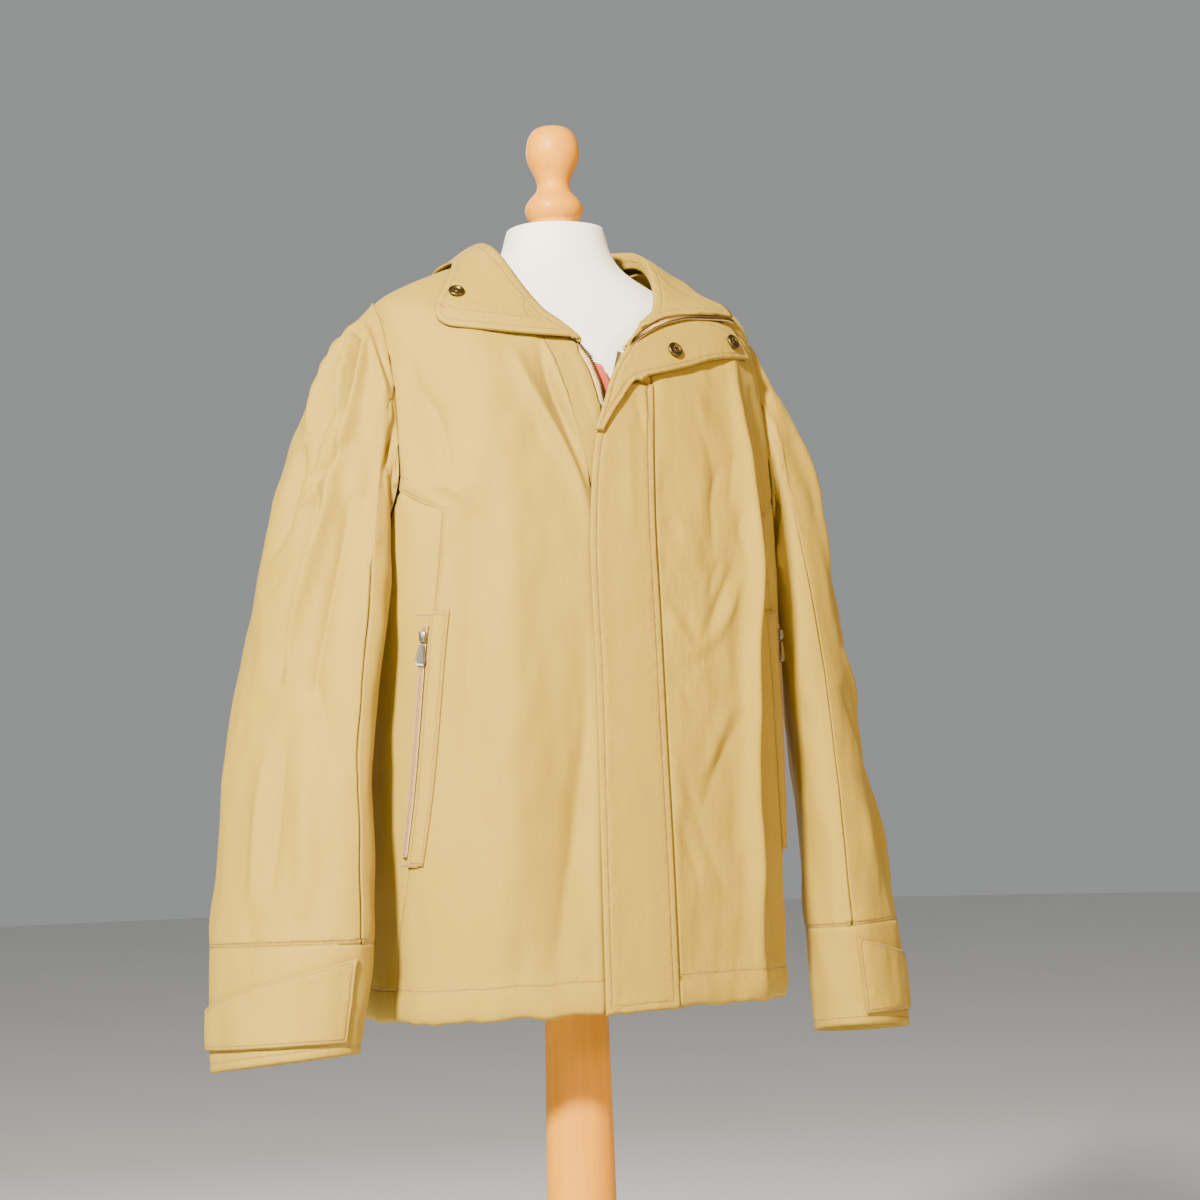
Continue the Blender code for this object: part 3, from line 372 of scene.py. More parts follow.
def toned(tree, shader, tone, low, high):
    """Colours a shader between two hex colours with a tone."""
    tree.links.new(colour_between(tree, tone, low, high), shader.inputs["Base Color"])


def blend(tree, first, second):
    """Six parts of one tone and four of another."""
    return calculate(tree, "ADD", calculate(tree, "MULTIPLY", first, 0.6),
                     calculate(tree, "MULTIPLY", second, 0.4))


def attribute(tree, name):
    """A number stored on the mesh."""
    return add_node(tree, "ShaderNodeAttribute", {"attribute_name": name}).outputs["Fac"]


def near_stitches(tree, width):
    """One on either line of stitches, and less away from them."""
    return calculate(tree, "MAXIMUM", *(near_line(tree, name, width * MM)
                                        for name in ("stitch_a", "stitch_b")))


TWILL_STEP = 1.4  # mm between twill lines; the real 0.6 mm is too fine for the render


def shell_twill():
    """Padded microfibre twill: matt and slightly napped, so it has a soft light edge; painted shade
    darkens it along seams and stitches.
    """
    material, tree, shader = new_material(
        "shell_twill_microfibre", Roughness=0.74, Specular_IOR_Level=0.25, Sheen_Weight=0.10,
        Sheen_Roughness=0.4, Sheen_Tint=to_linear("#E8C878"))
    cloud = scaled_noise(tree, 0.16, detail=4.0)
    streak = scaled_noise(tree, 0.0024, (1.0, 1.0, 0.05), detail=2.0)
    cloth = colour_between(tree, blend(tree, cloud, streak), "#8F751D", "#A2872C")
    # painted shade: the colour darkens towards #8A6A3A in the grooves of seams and lines of stitches
    seam = near_line(tree, "rim", 0.9 * MM)
    sewn = near_stitches(tree, 1.0)
    dark = calculate(tree, "MULTIPLY", calculate(tree, "MAXIMUM", seam, sewn), 0.25)
    shaded = add_node(tree, "ShaderNodeMix", {"data_type": "RGBA"}, {0: dark, 6: cloth})
    # 8A6A3A: colour of the painted shade in seams and stitches
    shaded.inputs[7].default_value = to_linear("#8A6A3A")
    tree.links.new(shaded.outputs[2], shader.inputs["Base Color"])
    place = add_node(tree, "ShaderNodeTexCoord").outputs["Object"]
    turned = add_node(tree, "ShaderNodeMapping", {"Rotation": (0.0, math.radians(62), 0.0)},
                      {"Vector": place})
    line = add_node(tree, "ShaderNodeTexWave",
                    {"Scale": 1.0 / (6.28 * TWILL_STEP * MM), "Distortion": 0.8},
                    {"Vector": turned.outputs["Vector"]}).outputs["Fac"]
    pucker = calculate(tree, "MULTIPLY", scaled_noise(tree, 0.009, detail=2.0),
                       near_stitches(tree, 9.0))
    wrinkle = calculate(tree, "MULTIPLY", scaled_noise(tree, 0.014, (1.0, 1.0, 0.4)),
                        attribute(tree, "crumple"))
    small = scaled_noise(tree, 0.013, (1.0, 1.0, 0.55))
    broad = scaled_noise(tree, 0.045, (1.0, 1.0, 0.5), detail=2.0)
    set_bump(tree, shader, (wrinkle, 2.2), (line, 0.03), (small, 0.6), (broad, 2.0),
             (pucker, 1.6), (seam, -0.3), (sewn, -0.6))
    return material


def coral_lining():
    """Thin plain-woven lining in coral, with a low sheen."""
    material, tree, shader = new_material("lining_taffeta_coral", Roughness=0.5, Sheen_Weight=0.2)
    toned(tree, shader, scaled_noise(tree, 0.004), "#C43C1C", "#DB5632")
    set_bump(tree, shader, (scaled_noise(tree, 0.0016), 0.12))
    return material


def form_jersey():
    """Knitted cotton jersey over a padded form: matt cream, with a fine knit."""
    material, tree, shader = new_material("form_cotton_jersey", Roughness=0.86, Sheen_Weight=0.15)
    toned(tree, shader, scaled_noise(tree, 0.05), "#DDD8CC", "#E8E4DA")
    knit = scaled_noise(tree, 0.0011, (1.0, 1.0, 0.4))
    set_bump(tree, shader, (knit, 0.10), (scaled_noise(tree, 0.03), 0.4))
    return material


def turned_wood():
    """Varnished beech turned on a lathe: warm, with fine upright grain and a dull gloss."""
    material, tree, shader = new_material(
        "wood_varnished_beech", Roughness=0.5, Specular_IOR_Level=0.18, Coat_Weight=0.06,
        Coat_Roughness=0.25)
    grain = scaled_noise(tree, 0.006, (1.0, 1.0, 0.06), detail=5.0, roughness=0.6)
    band = scaled_noise(tree, 0.035, (1.0, 1.0, 0.12), detail=2.0)
    toned(tree, shader, blend(tree, grain, band), "#A86802", "#DE960A")
    set_bump(tree, shader, (grain, 0.12))
    return material


def worn_metal(name, dark, light, roughness):
    """Plated metal whose tone differs a little at random."""
    material, tree, shader = new_material(name, Metallic=1.0, Roughness=roughness)
    tone = scaled_noise(tree, 0.0025, detail=4.0)
    toned(tree, shader, tone, dark, light)
    set_bump(tree, shader, (tone, 0.05))
    return material


def fibre(name, dark, light, roughness=0.6):
    """Sewing thread, zip tape or nylon coil."""
    material, tree, shader = new_material(name, Roughness=roughness, Sheen_Weight=0.15)
    toned(tree, shader, scaled_noise(tree, 0.0012, detail=2.0), dark, light)
    return material


MAKERS = {
    "shell_twill": shell_twill,
    "coral_lining": coral_lining,
    "form_jersey": form_jersey,
    "turned_wood": turned_wood,
    # antique brass: dark plating, rubbed lighter
    "antique_brass": lambda: worn_metal("metal_antique_brass", "#3B2F1A", "#7A6338", 0.38),
    # zinc alloy puller: dull grey plating
    "puller_metal": lambda: worn_metal("metal_zinc_puller", "#6F6B62", "#A09A8C", 0.36),
    "coil_zip": lambda: fibre("nylon_zip_coil", "#A5784F", "#BE946A", 0.5),
    "zip_tape": lambda: fibre("polyester_zip_tape", "#A88A52", "#BFA067", 0.8),
    "thread": lambda: fibre("polyester_thread_khaki", "#8F6C38", "#A98449"),
    "tack_thread": lambda: fibre("polyester_thread_rust", "#8A4A2C", "#A85F3B"),
}


@functools.cache
def material_of(name):
    """Makes each material once."""
    return MAKERS[name]()


# ------------------------------------------------------------------------ mesh helpers

def link_object(name, data):
    """Puts data in the scene as an object."""
    item = bpy.data.objects.new(name, data)
    bpy.context.scene.collection.objects.link(item)
    return item


def bake(item):
    """The mesh that an object shows with its modifiers or bevel; the object goes."""
    graph = bpy.context.evaluated_depsgraph_get()
    mesh = bpy.data.meshes.new_from_object(item.evaluated_get(graph))
    bpy.data.objects.remove(item)
    return mesh


def add_piece(name, mesh, finish, body="root", smooth=True):
    """Links a mesh as a piece of the object, riding on a body."""
    mesh.name = name
    mesh.materials.clear()
    mesh.materials.append(material_of(finish))
    if smooth:
        mesh.shade_smooth()
    piece = link_object(name, mesh)
    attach(piece, body)
    return piece


def to_mesh(shape, name):
    """Ends a bmesh as a mesh."""
    mesh = bpy.data.meshes.new(name)
    shape.to_mesh(mesh)
    shape.free()
    return mesh


def get_points(mesh):
    """A mesh's vertices as an array."""
    flat = np.zeros(len(mesh.vertices) * 3, np.float32)
    mesh.vertices.foreach_get("co", flat)
    return flat.reshape(-1, 3).astype(float)


def set_points(mesh, points):
    """Puts an array back as a mesh's vertices."""
    mesh.vertices.foreach_set("co", np.ascontiguousarray(points, np.float32).ravel())
    mesh.update()


def set_attribute(mesh, name, values):
    """Stores one number for each vertex."""
    layer = mesh.attributes.new(name, "FLOAT", "POINT")
    layer.data.foreach_set("value", np.ascontiguousarray(values, np.float32))


SHARP = math.radians(42)


def merged_copy(node):
    """A copy of a CAD node's mesh with its points merged and its triangles joined to quads."""
    shape = bmesh.new()
    shape.from_mesh(NODES[node].data)
    bmesh.ops.remove_doubles(shape, verts=shape.verts, dist=0.00004)
    bmesh.ops.join_triangles(shape, faces=shape.faces, angle_face_threshold=math.radians(38),
                             angle_shape_threshold=math.radians(60))
    return shape


def fine_copy(node, levels, evened=0):
    """A subdivided copy of a CAD node in which the sharp rims stay where they are."""
    shape = merged_copy(node)
    crease = shape.edges.layers.float.new("crease_edge")
    inside = set(shape.verts)
    for edge in shape.edges:
        if edge.is_manifold and edge.calc_face_angle() > SHARP:
            edge[crease] = 1.0
            inside -= set(edge.verts)
    for _ in range(evened):
        bmesh.ops.smooth_vert(shape, verts=list(inside), factor=0.5, use_axis_x=True,
                              use_axis_y=True, use_axis_z=True)
    coarse = link_object("coarse", to_mesh(shape, "coarse"))
    smooth = coarse.modifiers.new("smooth", "SUBSURF")
    smooth.levels = levels
    smooth.render_levels = levels
    return bake(coarse)


def rim_samples(mesh, tube, step=0.001):
    """Points along the sharp edges of a cloth mesh, and which way the cloth ends there."""
    shape = bmesh.new()
    shape.from_mesh(mesh)
    shape.normal_update()
    samples, ends = [], []
    for edge in shape.edges:
        if not edge.is_manifold or edge.calc_face_angle() < SHARP:
            continue
        first, second = (np.array(vert.co) for vert in edge.verts)
        outward = outward_at(((first + second) / 2)[None], tube)[1][0]
        wall = min((np.array(face.normal) for face in edge.link_faces),
                   key=lambda normal: abs(normal @ outward))
        count = max(1, math.ceil(np.linalg.norm(second - first) / step))
        samples += [first + (second - first) * i / count for i in range(count)]
        ends += [wall] * count
    shape.free()
    return np.array(samples), np.array(ends)


def point_tree(samples):
    """Samples sorted, to look up the nearest ones."""
    tree = kdtree.KDTree(len(samples))
    for index, sample in enumerate(samples):
        tree.insert(sample, index)
    tree.balance()
    return tree


def nearest(points, samples):
    """Distance of each point from the nearest sample, and the sample's number."""
    tree = point_tree(samples)
    found = [tree.find(point) for point in points]
    return np.array([spot[2] for spot in found]), np.array([spot[1] for spot in found])


def seam_reach(samples, ends, others):
    """How far each rim sample goes on to meet the next panel halfway, evened along the rim."""
    reach = np.zeros(len(samples))
    for index, (sample, end) in enumerate(zip(samples, ends)):
        limit = SEAM_LIMIT if sample[2] < ARMHOLE_FOOT else ARMHOLE_LIMIT
        _, _, _, gap = others.ray_cast(Vector(sample + end * 0.00005), Vector(end), limit)
        if gap is None:
            spot, _, _, away = others.find_nearest(Vector(sample), 0.7 * limit)
            if spot is not None and (spot - Vector(sample)).dot(Vector(end)) > 0.4 * away:
                gap = away
        if gap is not None:
            reach[index] = gap / 2 + OVERLAP
    tree = point_tree(samples)
    return np.array([np.mean([reach[spot[1]] for spot in tree.find_n(sample, 9)])
                     for sample in samples])


def crossings(mesh, values):
    """Where a value of a mesh's vertices is zero: a place on each edge that it crosses, and
    for each of these edges those that share a triangle with it."""
    points = get_points(mesh)
    mesh.calc_loop_triangles()
    corners = np.zeros(len(mesh.loop_triangles) * 3, np.int32)
    mesh.loop_triangles.foreach_get("vertices", corners)
    corners = corners.reshape(-1, 3)
    above = values > 0.0
    links, places = {}, {}
    for triangle in corners[(above[corners].sum(axis=1) % 3) != 0]:
        ends = []
        for first, second in ((0, 1), (1, 2), (2, 0)):
            a, b = sorted((int(triangle[first]), int(triangle[second])))
            if above[a] != above[b]:
                part = -values[a] / (values[b] - values[a])
                places[(a, b)] = points[a] + (points[b] - points[a]) * part
                ends.append((a, b))
        links.setdefault(ends[0], []).append(ends[1])
        links.setdefault(ends[1], []).append(ends[0])
    return links, places


def zero_lines(mesh, values):
    """The lines on a mesh where a value of its vertices is zero, as lists of points."""
    links, places = crossings(mesh, values)
    lines = []
    unused = set(links)
    for start in sorted(key for key in links if len(links[key]) == 1) + sorted(links):
        if start not in unused:
            continue
        line = [start]
        unused.discard(start)
        while onward := [key for key in links[line[-1]] if key in unused]:
            line.append(onward[0])
            unused.discard(onward[0])
        if start in links[line[-1]] and len(line) > 2:
            line.append(start)
        if len(line) > 3:
            lines.append(np.array([places[key] for key in line]))
    return lines


def even_steps(line, step):
    """Points and directions at even steps along a line."""
    lengths = np.concatenate(([0.0], np.cumsum(np.linalg.norm(np.diff(line, axis=0), axis=1))))
    count = int(lengths[-1] / step)
    if count < 2:
        return np.zeros((0, 3)), np.zeros((0, 3))
    spots = (np.arange(count) + 0.5) * lengths[-1] / count
    half = 0.4 * step
    here, before, after = (np.column_stack([np.interp(s, lengths, line[:, i]) for i in range(3)])
                           for s in (spots, spots - half, spots + half))
    directions = after - before
    return here, directions / np.linalg.norm(directions, axis=1)[:, None]


def repeat_shape(shape_mesh, centres, along, outward):
    """One mesh of a small shape repeated: its X goes along, its Z outward."""
    points = get_points(shape_mesh)
    faces = [tuple(polygon.vertices) for polygon in shape_mesh.polygons]
    across = np.cross(outward, along)
    across /= np.linalg.norm(across, axis=1)[:, None]
    outward = np.cross(along, across)
    all_points = (centres[:, None, :] + points[None, :, 0, None] * along[:, None, :]
                  + points[None, :, 1, None] * across[:, None, :]
                  + points[None, :, 2, None] * outward[:, None, :]).reshape(-1, 3)
    all_faces = [tuple(index + count * len(points) for index in face)
                 for count in range(len(centres)) for face in faces]
    mesh = bpy.data.meshes.new("repeated")
    mesh.from_pydata(all_points.tolist(), [], all_faces)
    return mesh


# ------------------------------------------------------------------------------- cloth

SEAM_LIMIT = 0.006     # panels nearer to each other than this are sewn together
ARMHOLE_LIMIT = 0.010  # the same above the foot of the armholes
OVERLAP = 0.55 * MM    # how far a panel goes on past the middle of its seam
OUTER = {}             # each cloth piece's surface, for what is sewn on it
STITCHES = []          # lines of stitches found on the cloth, as (node, line)

# node: tube and the flat cut: width, length and area
CLOTH = {
    "back": ("body", 0.53, 0.78, 0.350),
    "collar": ("body", 0.50, 0.12, 0.046),
    "storm_flap": ("body", 0.080, 0.60, 0.044),
    "storm_flap_top": ("body", 0.08, 0.15, 0.0092),
    "placket_lining": ("body", 0.014, 0.07, 0.0009),
    "front_right": ("body", 0.27, 0.74, 0.132),
    "front_left": ("body", 0.27, 0.74, 0.136),
    "front_band_right": ("body", 0.04, 0.65, 0.0185),
    "front_band_left": ("body", 0.04, 0.65, 0.0175),
}
for wearer_side in SIDES:
    CLOTH.update({
        "side_" + wearer_side: ("body", 0.19, 0.50, 0.073),
        "sleeve_top_" + wearer_side: (wearer_side, 0.24, 0.66, 0.125),
        "sleeve_under_" + wearer_side: (wearer_side, 0.20, 0.58, 0.083),
        "cuff_" + wearer_side: (wearer_side, 0.43, 0.105, 0.043),
        "cuff_tab_" + wearer_side: (wearer_side, 0.165, 0.073, 0.0114),
        "pocket_welt_" + wearer_side: ("body", 0.02, 0.24, 0.0045),
    })
FINE = 3             # how often a solid is subdivided, and the two pieces that are less
COARSE = {"collar": 2, "storm_flap_top": 2}
CREASES = {
    "body": BODY_CREASES,
    "right": RIGHT_SLEEVE_CREASES,
    "left": LEFT_SLEEVE_CREASES,
    "collar": COLLAR_CREASES,
    "flap": FLAP_CREASES,
}

ALL_ROUND = (-180, 180)
AT_HEM = (0.70, 0.83)
AT_CUFF = (0.70, 0.90)


def both_sides(name, offset, facing, azimuths, heights):
    """A line of stitches on each side, from the azimuths of the left one."""
    first, last = azimuths
    return ((name + "right", offset, facing, (-last, -first), heights),
            (name + "left", offset, facing, azimuths, heights))


# lines of stitches: node, distance from the rim in mm, which way that rim faces in the
# upright (None: any), and the rim's part that counts, as azimuths and heights
STITCH_LINES = (
    *both_sides("front_", 30.0, -1, ALL_ROUND, AT_HEM),
    *both_sides("side_", 30.0, -1, ALL_ROUND, AT_HEM),
    ("back", 30.0, -1, ALL_ROUND, AT_HEM),
    *both_sides("front_", 2.5, None, (44, 72), (1.10, 1.30)),
    ("storm_flap", 6.5, None, ALL_ROUND, (0.70, 1.385)),
    ("storm_flap_top", 5.0, None, (-12, 70), (1.20, 1.60)),
    ("collar", 7.0, None, ALL_ROUND, (1.38, 1.60)),
    ("collar", 20.0, -1, (-75, -5), (1.38, 1.60)),
    *both_sides("side_", 3.0, None, (56, 180), (0.940, 1.170)),
    *both_sides("cuff_tab_", 3.0, None, ALL_ROUND, AT_CUFF),
    *both_sides("sleeve_top_", 2.5, -1, ALL_ROUND, AT_CUFF),
    *both_sides("sleeve_under_", 2.5, -1, ALL_ROUND, AT_CUFF),
    *both_sides("cuff_", 8.0, -1, ALL_ROUND, (0.70, 0.79)),
    *both_sides("pocket_welt_", 2.5, None, ALL_ROUND, (0.70, 1.30)),
)


# half widths and depths in m that the body and a sleeve are rounded by, and the level
# from which their shoulders turn up, with how far
ROUNDING = {"body": (0.21, 0.14, 1.36, 0.16), "sleeve": (0.05, 0.075, 1.40, 0.05)}


def outward_at(points, tube):
    """Azimuth of each point, and a direction out of the cloth: sideways from the tube's
    centre line, and up over the shoulders."""
    azimuths, away = unroll(points, centre_line(tube))
    width, depth, shoulder, top = ROUNDING["body" if tube == "body" else "sleeve"]
    direction = np.column_stack((away[:, 0] / width ** 2, away[:, 1] / depth ** 2,
                                 np.clip(points[:, 2] - shoulder, 0.0, None) / top ** 2))
    return azimuths, direction / np.linalg.norm(direction, axis=1)[:, None]


def radius_of(tube):
    """The radius that turns a tube's azimuths into metres."""
    return BODY_RADIUS if tube == "body" else SLEEVE_RADIUS


# rims that sink into what is under them, or rise to meet what lies over them: node, the
# side of the rim (1 is towards the wearer's left), height in mm, reach in mm
SETTLED = (
    ("storm_flap", 1, -2.3, 16.0),
    ("front_left", -1, 1.2, 22.0),
    *(("pocket_welt_" + side, -sign, -1.9, 9.0) for side, sign in SIDES.items()),
    *(("cuff_tab_" + side, -sign, -1.6, 12.0) for side, sign in SIDES.items()),
)
# pieces that keep to the form of their solid, and pieces with little padding
STIFF = ("collar", "storm_flap", "placket")
THIN = (*STIFF, "cuff", "pocket_welt")
ARMHOLE_FOOT = 1.22  # above this level, and near the front bands, seams keep still
NEAR_FRONT = math.radians(18)
STILL = 0.007        # how far from such a seam the cloth is held
EVENED = 2           # how often a sleeve's solid is evened before it is creased
CALM = 0.030         # how far round a pocket the cloth lies smooth
PADDED = 0.006       # how far from a seam the padding reaches its height
GATHER = 0.0025      # half the width of the dip along stitches, and its depth in mm
STITCH_DIP = 0.4
SEWN = 0.005         # how far from a seam the cloth moves with it
HEM = 0.790          # level of the hem in front, in metres
HEM_DEPTH = 30.0     # in mm, like the height that the hem is padded out by
HEM_ROLL = 1.8
# pieces whose foot is let down or taken up: depth in mm, and height over which it fades
FEET = {"storm_flap": (-8.0, 0.09), "front_band_right": (5.0, 0.05),
        "front_band_left": (5.0, 0.05)}


def fold_lift(points, azimuths, node, tube, settings):
    """Lift by the creases and by the slow unevenness of hanging cloth."""
    lift = np.zeros(len(points))
    radius = radius_of(tube)
    if node in ("collar", "storm_flap_top"):
        lift += crease_lift(azimuths, points[:, 2], CREASES["collar"], radius)
    elif node == "storm_flap":
        lift += crease_lift(azimuths, points[:, 2], CREASES["flap"], radius)
    elif not node.startswith(STIFF):
        lift += crease_lift(azimuths, points[:, 2], CREASES[tube], radius) * settings.crease_depth
        lift += slow_wave(points, 0.085, settings.wave_height * MM)
    if tube == "body":
        pockets = np.vstack([edge for side in SIDES for edge in pocket_edges(side)])
        lift *= 1.0 - 0.92 * np.exp(-(nearest(points, pockets)[0] / CALM) ** 2)
    return lift


def hold_seams(lift, points, azimuths, rim, node, tube):
    """Keeps the lift off the armhole's and the bands' seams, so that they stay closed."""
    if node.startswith(("cuff", "pocket_welt")):
        return lift
    held = np.clip((points[:, 2] - ARMHOLE_FOOT) / 0.02, 0.0, 1.0)
    if tube == "body":
        held[np.abs(azimuths) < NEAR_FRONT] = 1.0
    return lift * (1.0 - held * np.exp(-(rim / STILL) ** 2))


def sewn_lift(sewn):
    """Dip along each line of stitches, and the padded roll of the hem below its line."""
    lift = 0.0
    for away, offset in sewn:
        lift = lift - STITCH_DIP * MM * np.exp(-(away / GATHER) ** 2)
        if offset == HEM_DEPTH:
            depth = np.clip(away / MM + HEM_DEPTH, 0.0, HEM_DEPTH) / HEM_DEPTH
            lift = lift + HEM_ROLL * MM * np.sin(np.pi * depth)
    return lift


def settled_lift(points, outward, node, samples, ends):
    """Lift that lays a piece's rims down on the cloth under them."""
    lift = 0.0
    across = np.column_stack((-outward[:, 1], outward[:, 0]))
    for settled, side, rise, reach in SETTLED:
        if settled == node:
            turned = (ends[:, :2] * across[nearest(samples, points)[1]]).sum(axis=1)
            away = nearest(points, samples[turned * side > 0.5])[0]
            lift = lift + rise * MM * np.exp(-(away / (reach * MM)) ** 2)
    return lift


def drape(points, node, tube, rims, sewn, settings):
    """Moves a panel's points into its creases, its padding, its seams and its stitches."""
    samples, ends = rims
    azimuths, outward = outward_at(points, tube)
    rim, sample_of = nearest(points, samples)
    lift = fold_lift(points, azimuths, node, tube, settings)
    lift = hold_seams(lift, points, azimuths, rim, node, tube)
    padding = settings.padding * MM * (0.35 if node.startswith(THIN) else 1.0)
    lift += padding * (1.0 - np.exp(-rim / PADDED)) - 0.3 * padding
    if node.startswith("front_band"):
        lift = np.clip(lift, -0.4 * MM, 0.8 * MM)
    lift = lift + sewn_lift(sewn) + settled_lift(points, outward, node, samples, ends)
    reach = seam_reach(samples, ends, neighbours(node))[sample_of] * np.exp(-(rim / SEWN) ** 2)
    moved = points + outward * lift[:, None] + ends[sample_of] * reach[:, None]
    if tube == "body":
        hem = np.exp(-np.clip(points[:, 2] - HEM, 0.0, None) / 0.04)
        moved[:, 2] += slow_wave(points * (1.0, 1.0, 0.0), 0.03, settings.hem_wave * MM) * hem
    if node in FEET:
        depth, height = FEET[node]
        share = np.clip(1.0 - (points[:, 2] - points[:, 2].min()) / height, 0.0, 1.0)
        moved[:, 2] += depth * MM * share ** 1.5
    return moved, rim


# where the cloth is crumpled: tube, azimuth, height, reach in m across and up, share
CRUMPLED = (
    ("body", 26, 1.17, 0.055, 0.13, 1.0),
    ("body", -30, 1.40, 0.040, 0.06, 0.7),
    ("body", 30, 0.93, 0.050, 0.08, 0.5),
    ("right", -50, 1.36, 0.050, 0.09, 0.7),
    ("left", 40, 1.30, 0.050, 0.12, 0.7),
    ("body", -140, 1.20, 0.080, 0.14, 0.6),
    ("body", 150, 1.10, 0.080, 0.16, 0.6),
    ("right", -150, 1.14, 0.050, 0.08, 0.8),
    ("left", 150, 1.14, 0.050, 0.08, 0.8),
)


def crumpled_at(points, tube):
    """How crumpled the cloth is at each point, from none to one."""
    azimuths = unroll(points, centre_line(tube))[0]
    crumpled = np.full(len(points), 0.08)
    for place, azimuth, height, across, up, share in CRUMPLED:
        if place == tube:
            turn = (azimuths - math.radians(azimuth) + np.pi) % (2 * np.pi) - np.pi
            away = (turn * radius_of(tube) / across) ** 2 + ((points[:, 2] - height) / up) ** 2
            crumpled = np.maximum(crumpled, share * np.exp(-away))
    return crumpled


def neighbours(node):
    """One surface of all the cloth's solids but one."""
    points, faces = [], []
    for other in CLOTH:
        if other == node:
            continue
        mesh = NODES[other].data
        faces += [tuple(index + len(points) for index in polygon.vertices)
                  for polygon in mesh.polygons]
        points += [vert.co.copy() for vert in mesh.vertices]
    return BVHTree.FromPolygons(points, faces)


def sewn_lines(points, node, samples, ends, tube):
    """For each of a node's lines of stitches, how far every point is from it, and its offset."""
    sample_azimuths = np.degrees(unroll(samples, centre_line(tube))[0])
    lines = []
    for name, offset, facing, (first, last), (low, high) in STITCH_LINES:
        if name != node:
            continue
        counted = ((sample_azimuths >= first) & (sample_azimuths <= last)
                   & (samples[:, 2] >= low) & (samples[:, 2] <= high))
        if facing is not None:
            counted &= ends[:, 2] * facing > 0.6
        lines.append((nearest(points, samples[counted])[0] - offset * MM, offset))
    return lines


def make_cloth(node, settings):
    """Makes the cloth piece that stands for a node of the jacket."""
    tube, width, length, area = CLOTH[node]
    mesh = fine_copy(node, COARSE.get(node, FINE), EVENED if node.startswith("sleeve") else 0)
    points = get_points(mesh)
    rims = rim_samples(mesh, tube)
    sewn = sewn_lines(points, node, *rims, tube)
    points, rim = drape(points, node, tube, rims, sewn, settings)
    set_points(mesh, points)
    set_attribute(mesh, "rim", rim)
    for away, _ in sewn:
        STITCHES.extend((node, line) for line in zero_lines(mesh, away))
    unsewn = (np.ones(len(points)), None)
    for label, (away, _) in zip(("stitch_a", "stitch_b"), (*sewn, unsewn, unsewn)):
        set_attribute(mesh, label, away)
    set_attribute(mesh, "crumple", crumpled_at(points, tube))
    finish = "coral_lining" if node == "placket_lining" else "shell_twill"
    piece = add_piece("cloth_" + node, mesh, finish)
    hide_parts(node)
    OUTER[node] = BVHTree.FromPolygons(
        [Vector(p) for p in points], [tuple(polygon.vertices) for polygon in mesh.polygons])


def thread_shape(length, thickness):
    """One stitch: a short rounded thread, lying along X."""
    shape = bmesh.new()
    bmesh.ops.create_uvsphere(shape, u_segments=5, v_segments=4, radius=1.0)
    bmesh.ops.scale(shape, vec=(thickness / 2, thickness / 2, length / 2), verts=shape.verts)
    bmesh.ops.rotate(shape, matrix=Matrix.Rotation(math.radians(90), 3, "Y"), verts=shape.verts)
    return to_mesh(shape, "stitch")


# bar tacks: piece sewn on, finish, width in mm, and its ends as azimuth and height
TACKS = (
    *(("pocket_welt_" + side, "thread", 2.6, (66.0 * sign, 1.171), (58.5 * sign, 1.170))
      for side, sign in SIDES.items()),
    *(("pocket_welt_" + side, "thread", 2.6, (73.0 * sign, 0.938), (67.0 * sign, 0.937))
      for side, sign in SIDES.items()),
    ("collar", "tack_thread", 2.2, (-64.6, 1.468), (-62.6, 1.464)),
)
TACK_STEP = 0.7     # mm between a tack's threads
TACK_PLACES = 40    # places that its line is looked up at


def tack_threads(node, width, first, last):
    """The middles of a tack's threads on the cloth, the way they lie, and the way out."""
    azimuths = np.radians(np.linspace(first[0], last[0], TACK_PLACES))
    heights = np.linspace(first[1], last[1], TACK_PLACES)
    away = np.column_stack((np.sin(azimuths), -np.cos(azimuths), np.zeros(TACK_PLACES)))
    outer = [OUTER[name] for name in (node, "side_" + node.split("_")[-1]) if name in OUTER]
    line = []
    for direction, height in zip(away, heights):
        start = Vector(direction * 0.6) + Vector((0.0, 0.0, height))
        hits = [tree.ray_cast(start, -Vector(direction))[0] for tree in outer]
        hits = [np.array(hit) for hit in hits if hit is not None]
        if hits:
            line.append(max(hits, key=lambda hit: hit @ direction) + direction * 0.2 * MM)
    centres, along = even_steps(np.array(line), TACK_STEP * MM)
    outward = away[nearest(centres, np.array(line))[1]]
    return centres, np.cross(outward, along) * width * MM, outward


def make_tacks(settings):
    """Sews the bar tacks: short threads side by side across a line on the cloth."""
    groups = {}
    for node, finish, width, first, last in TACKS:
        groups.setdefault(finish, []).append(tack_threads(node, width, first, last))
    for finish, tacks in groups.items():
        centres, across, outward = (np.vstack(column) for column in zip(*tacks))
        size = np.linalg.norm(across, axis=1).mean()
        long_stitch = thread_shape(1.0, settings.thread * MM)
        long_stitch.transform(Matrix.Diagonal((size, 1.0, 1.0, 1.0)))
        mesh = repeat_shape(long_stitch, centres, across / size, outward)
        add_piece("tacks_" + finish, mesh, finish)


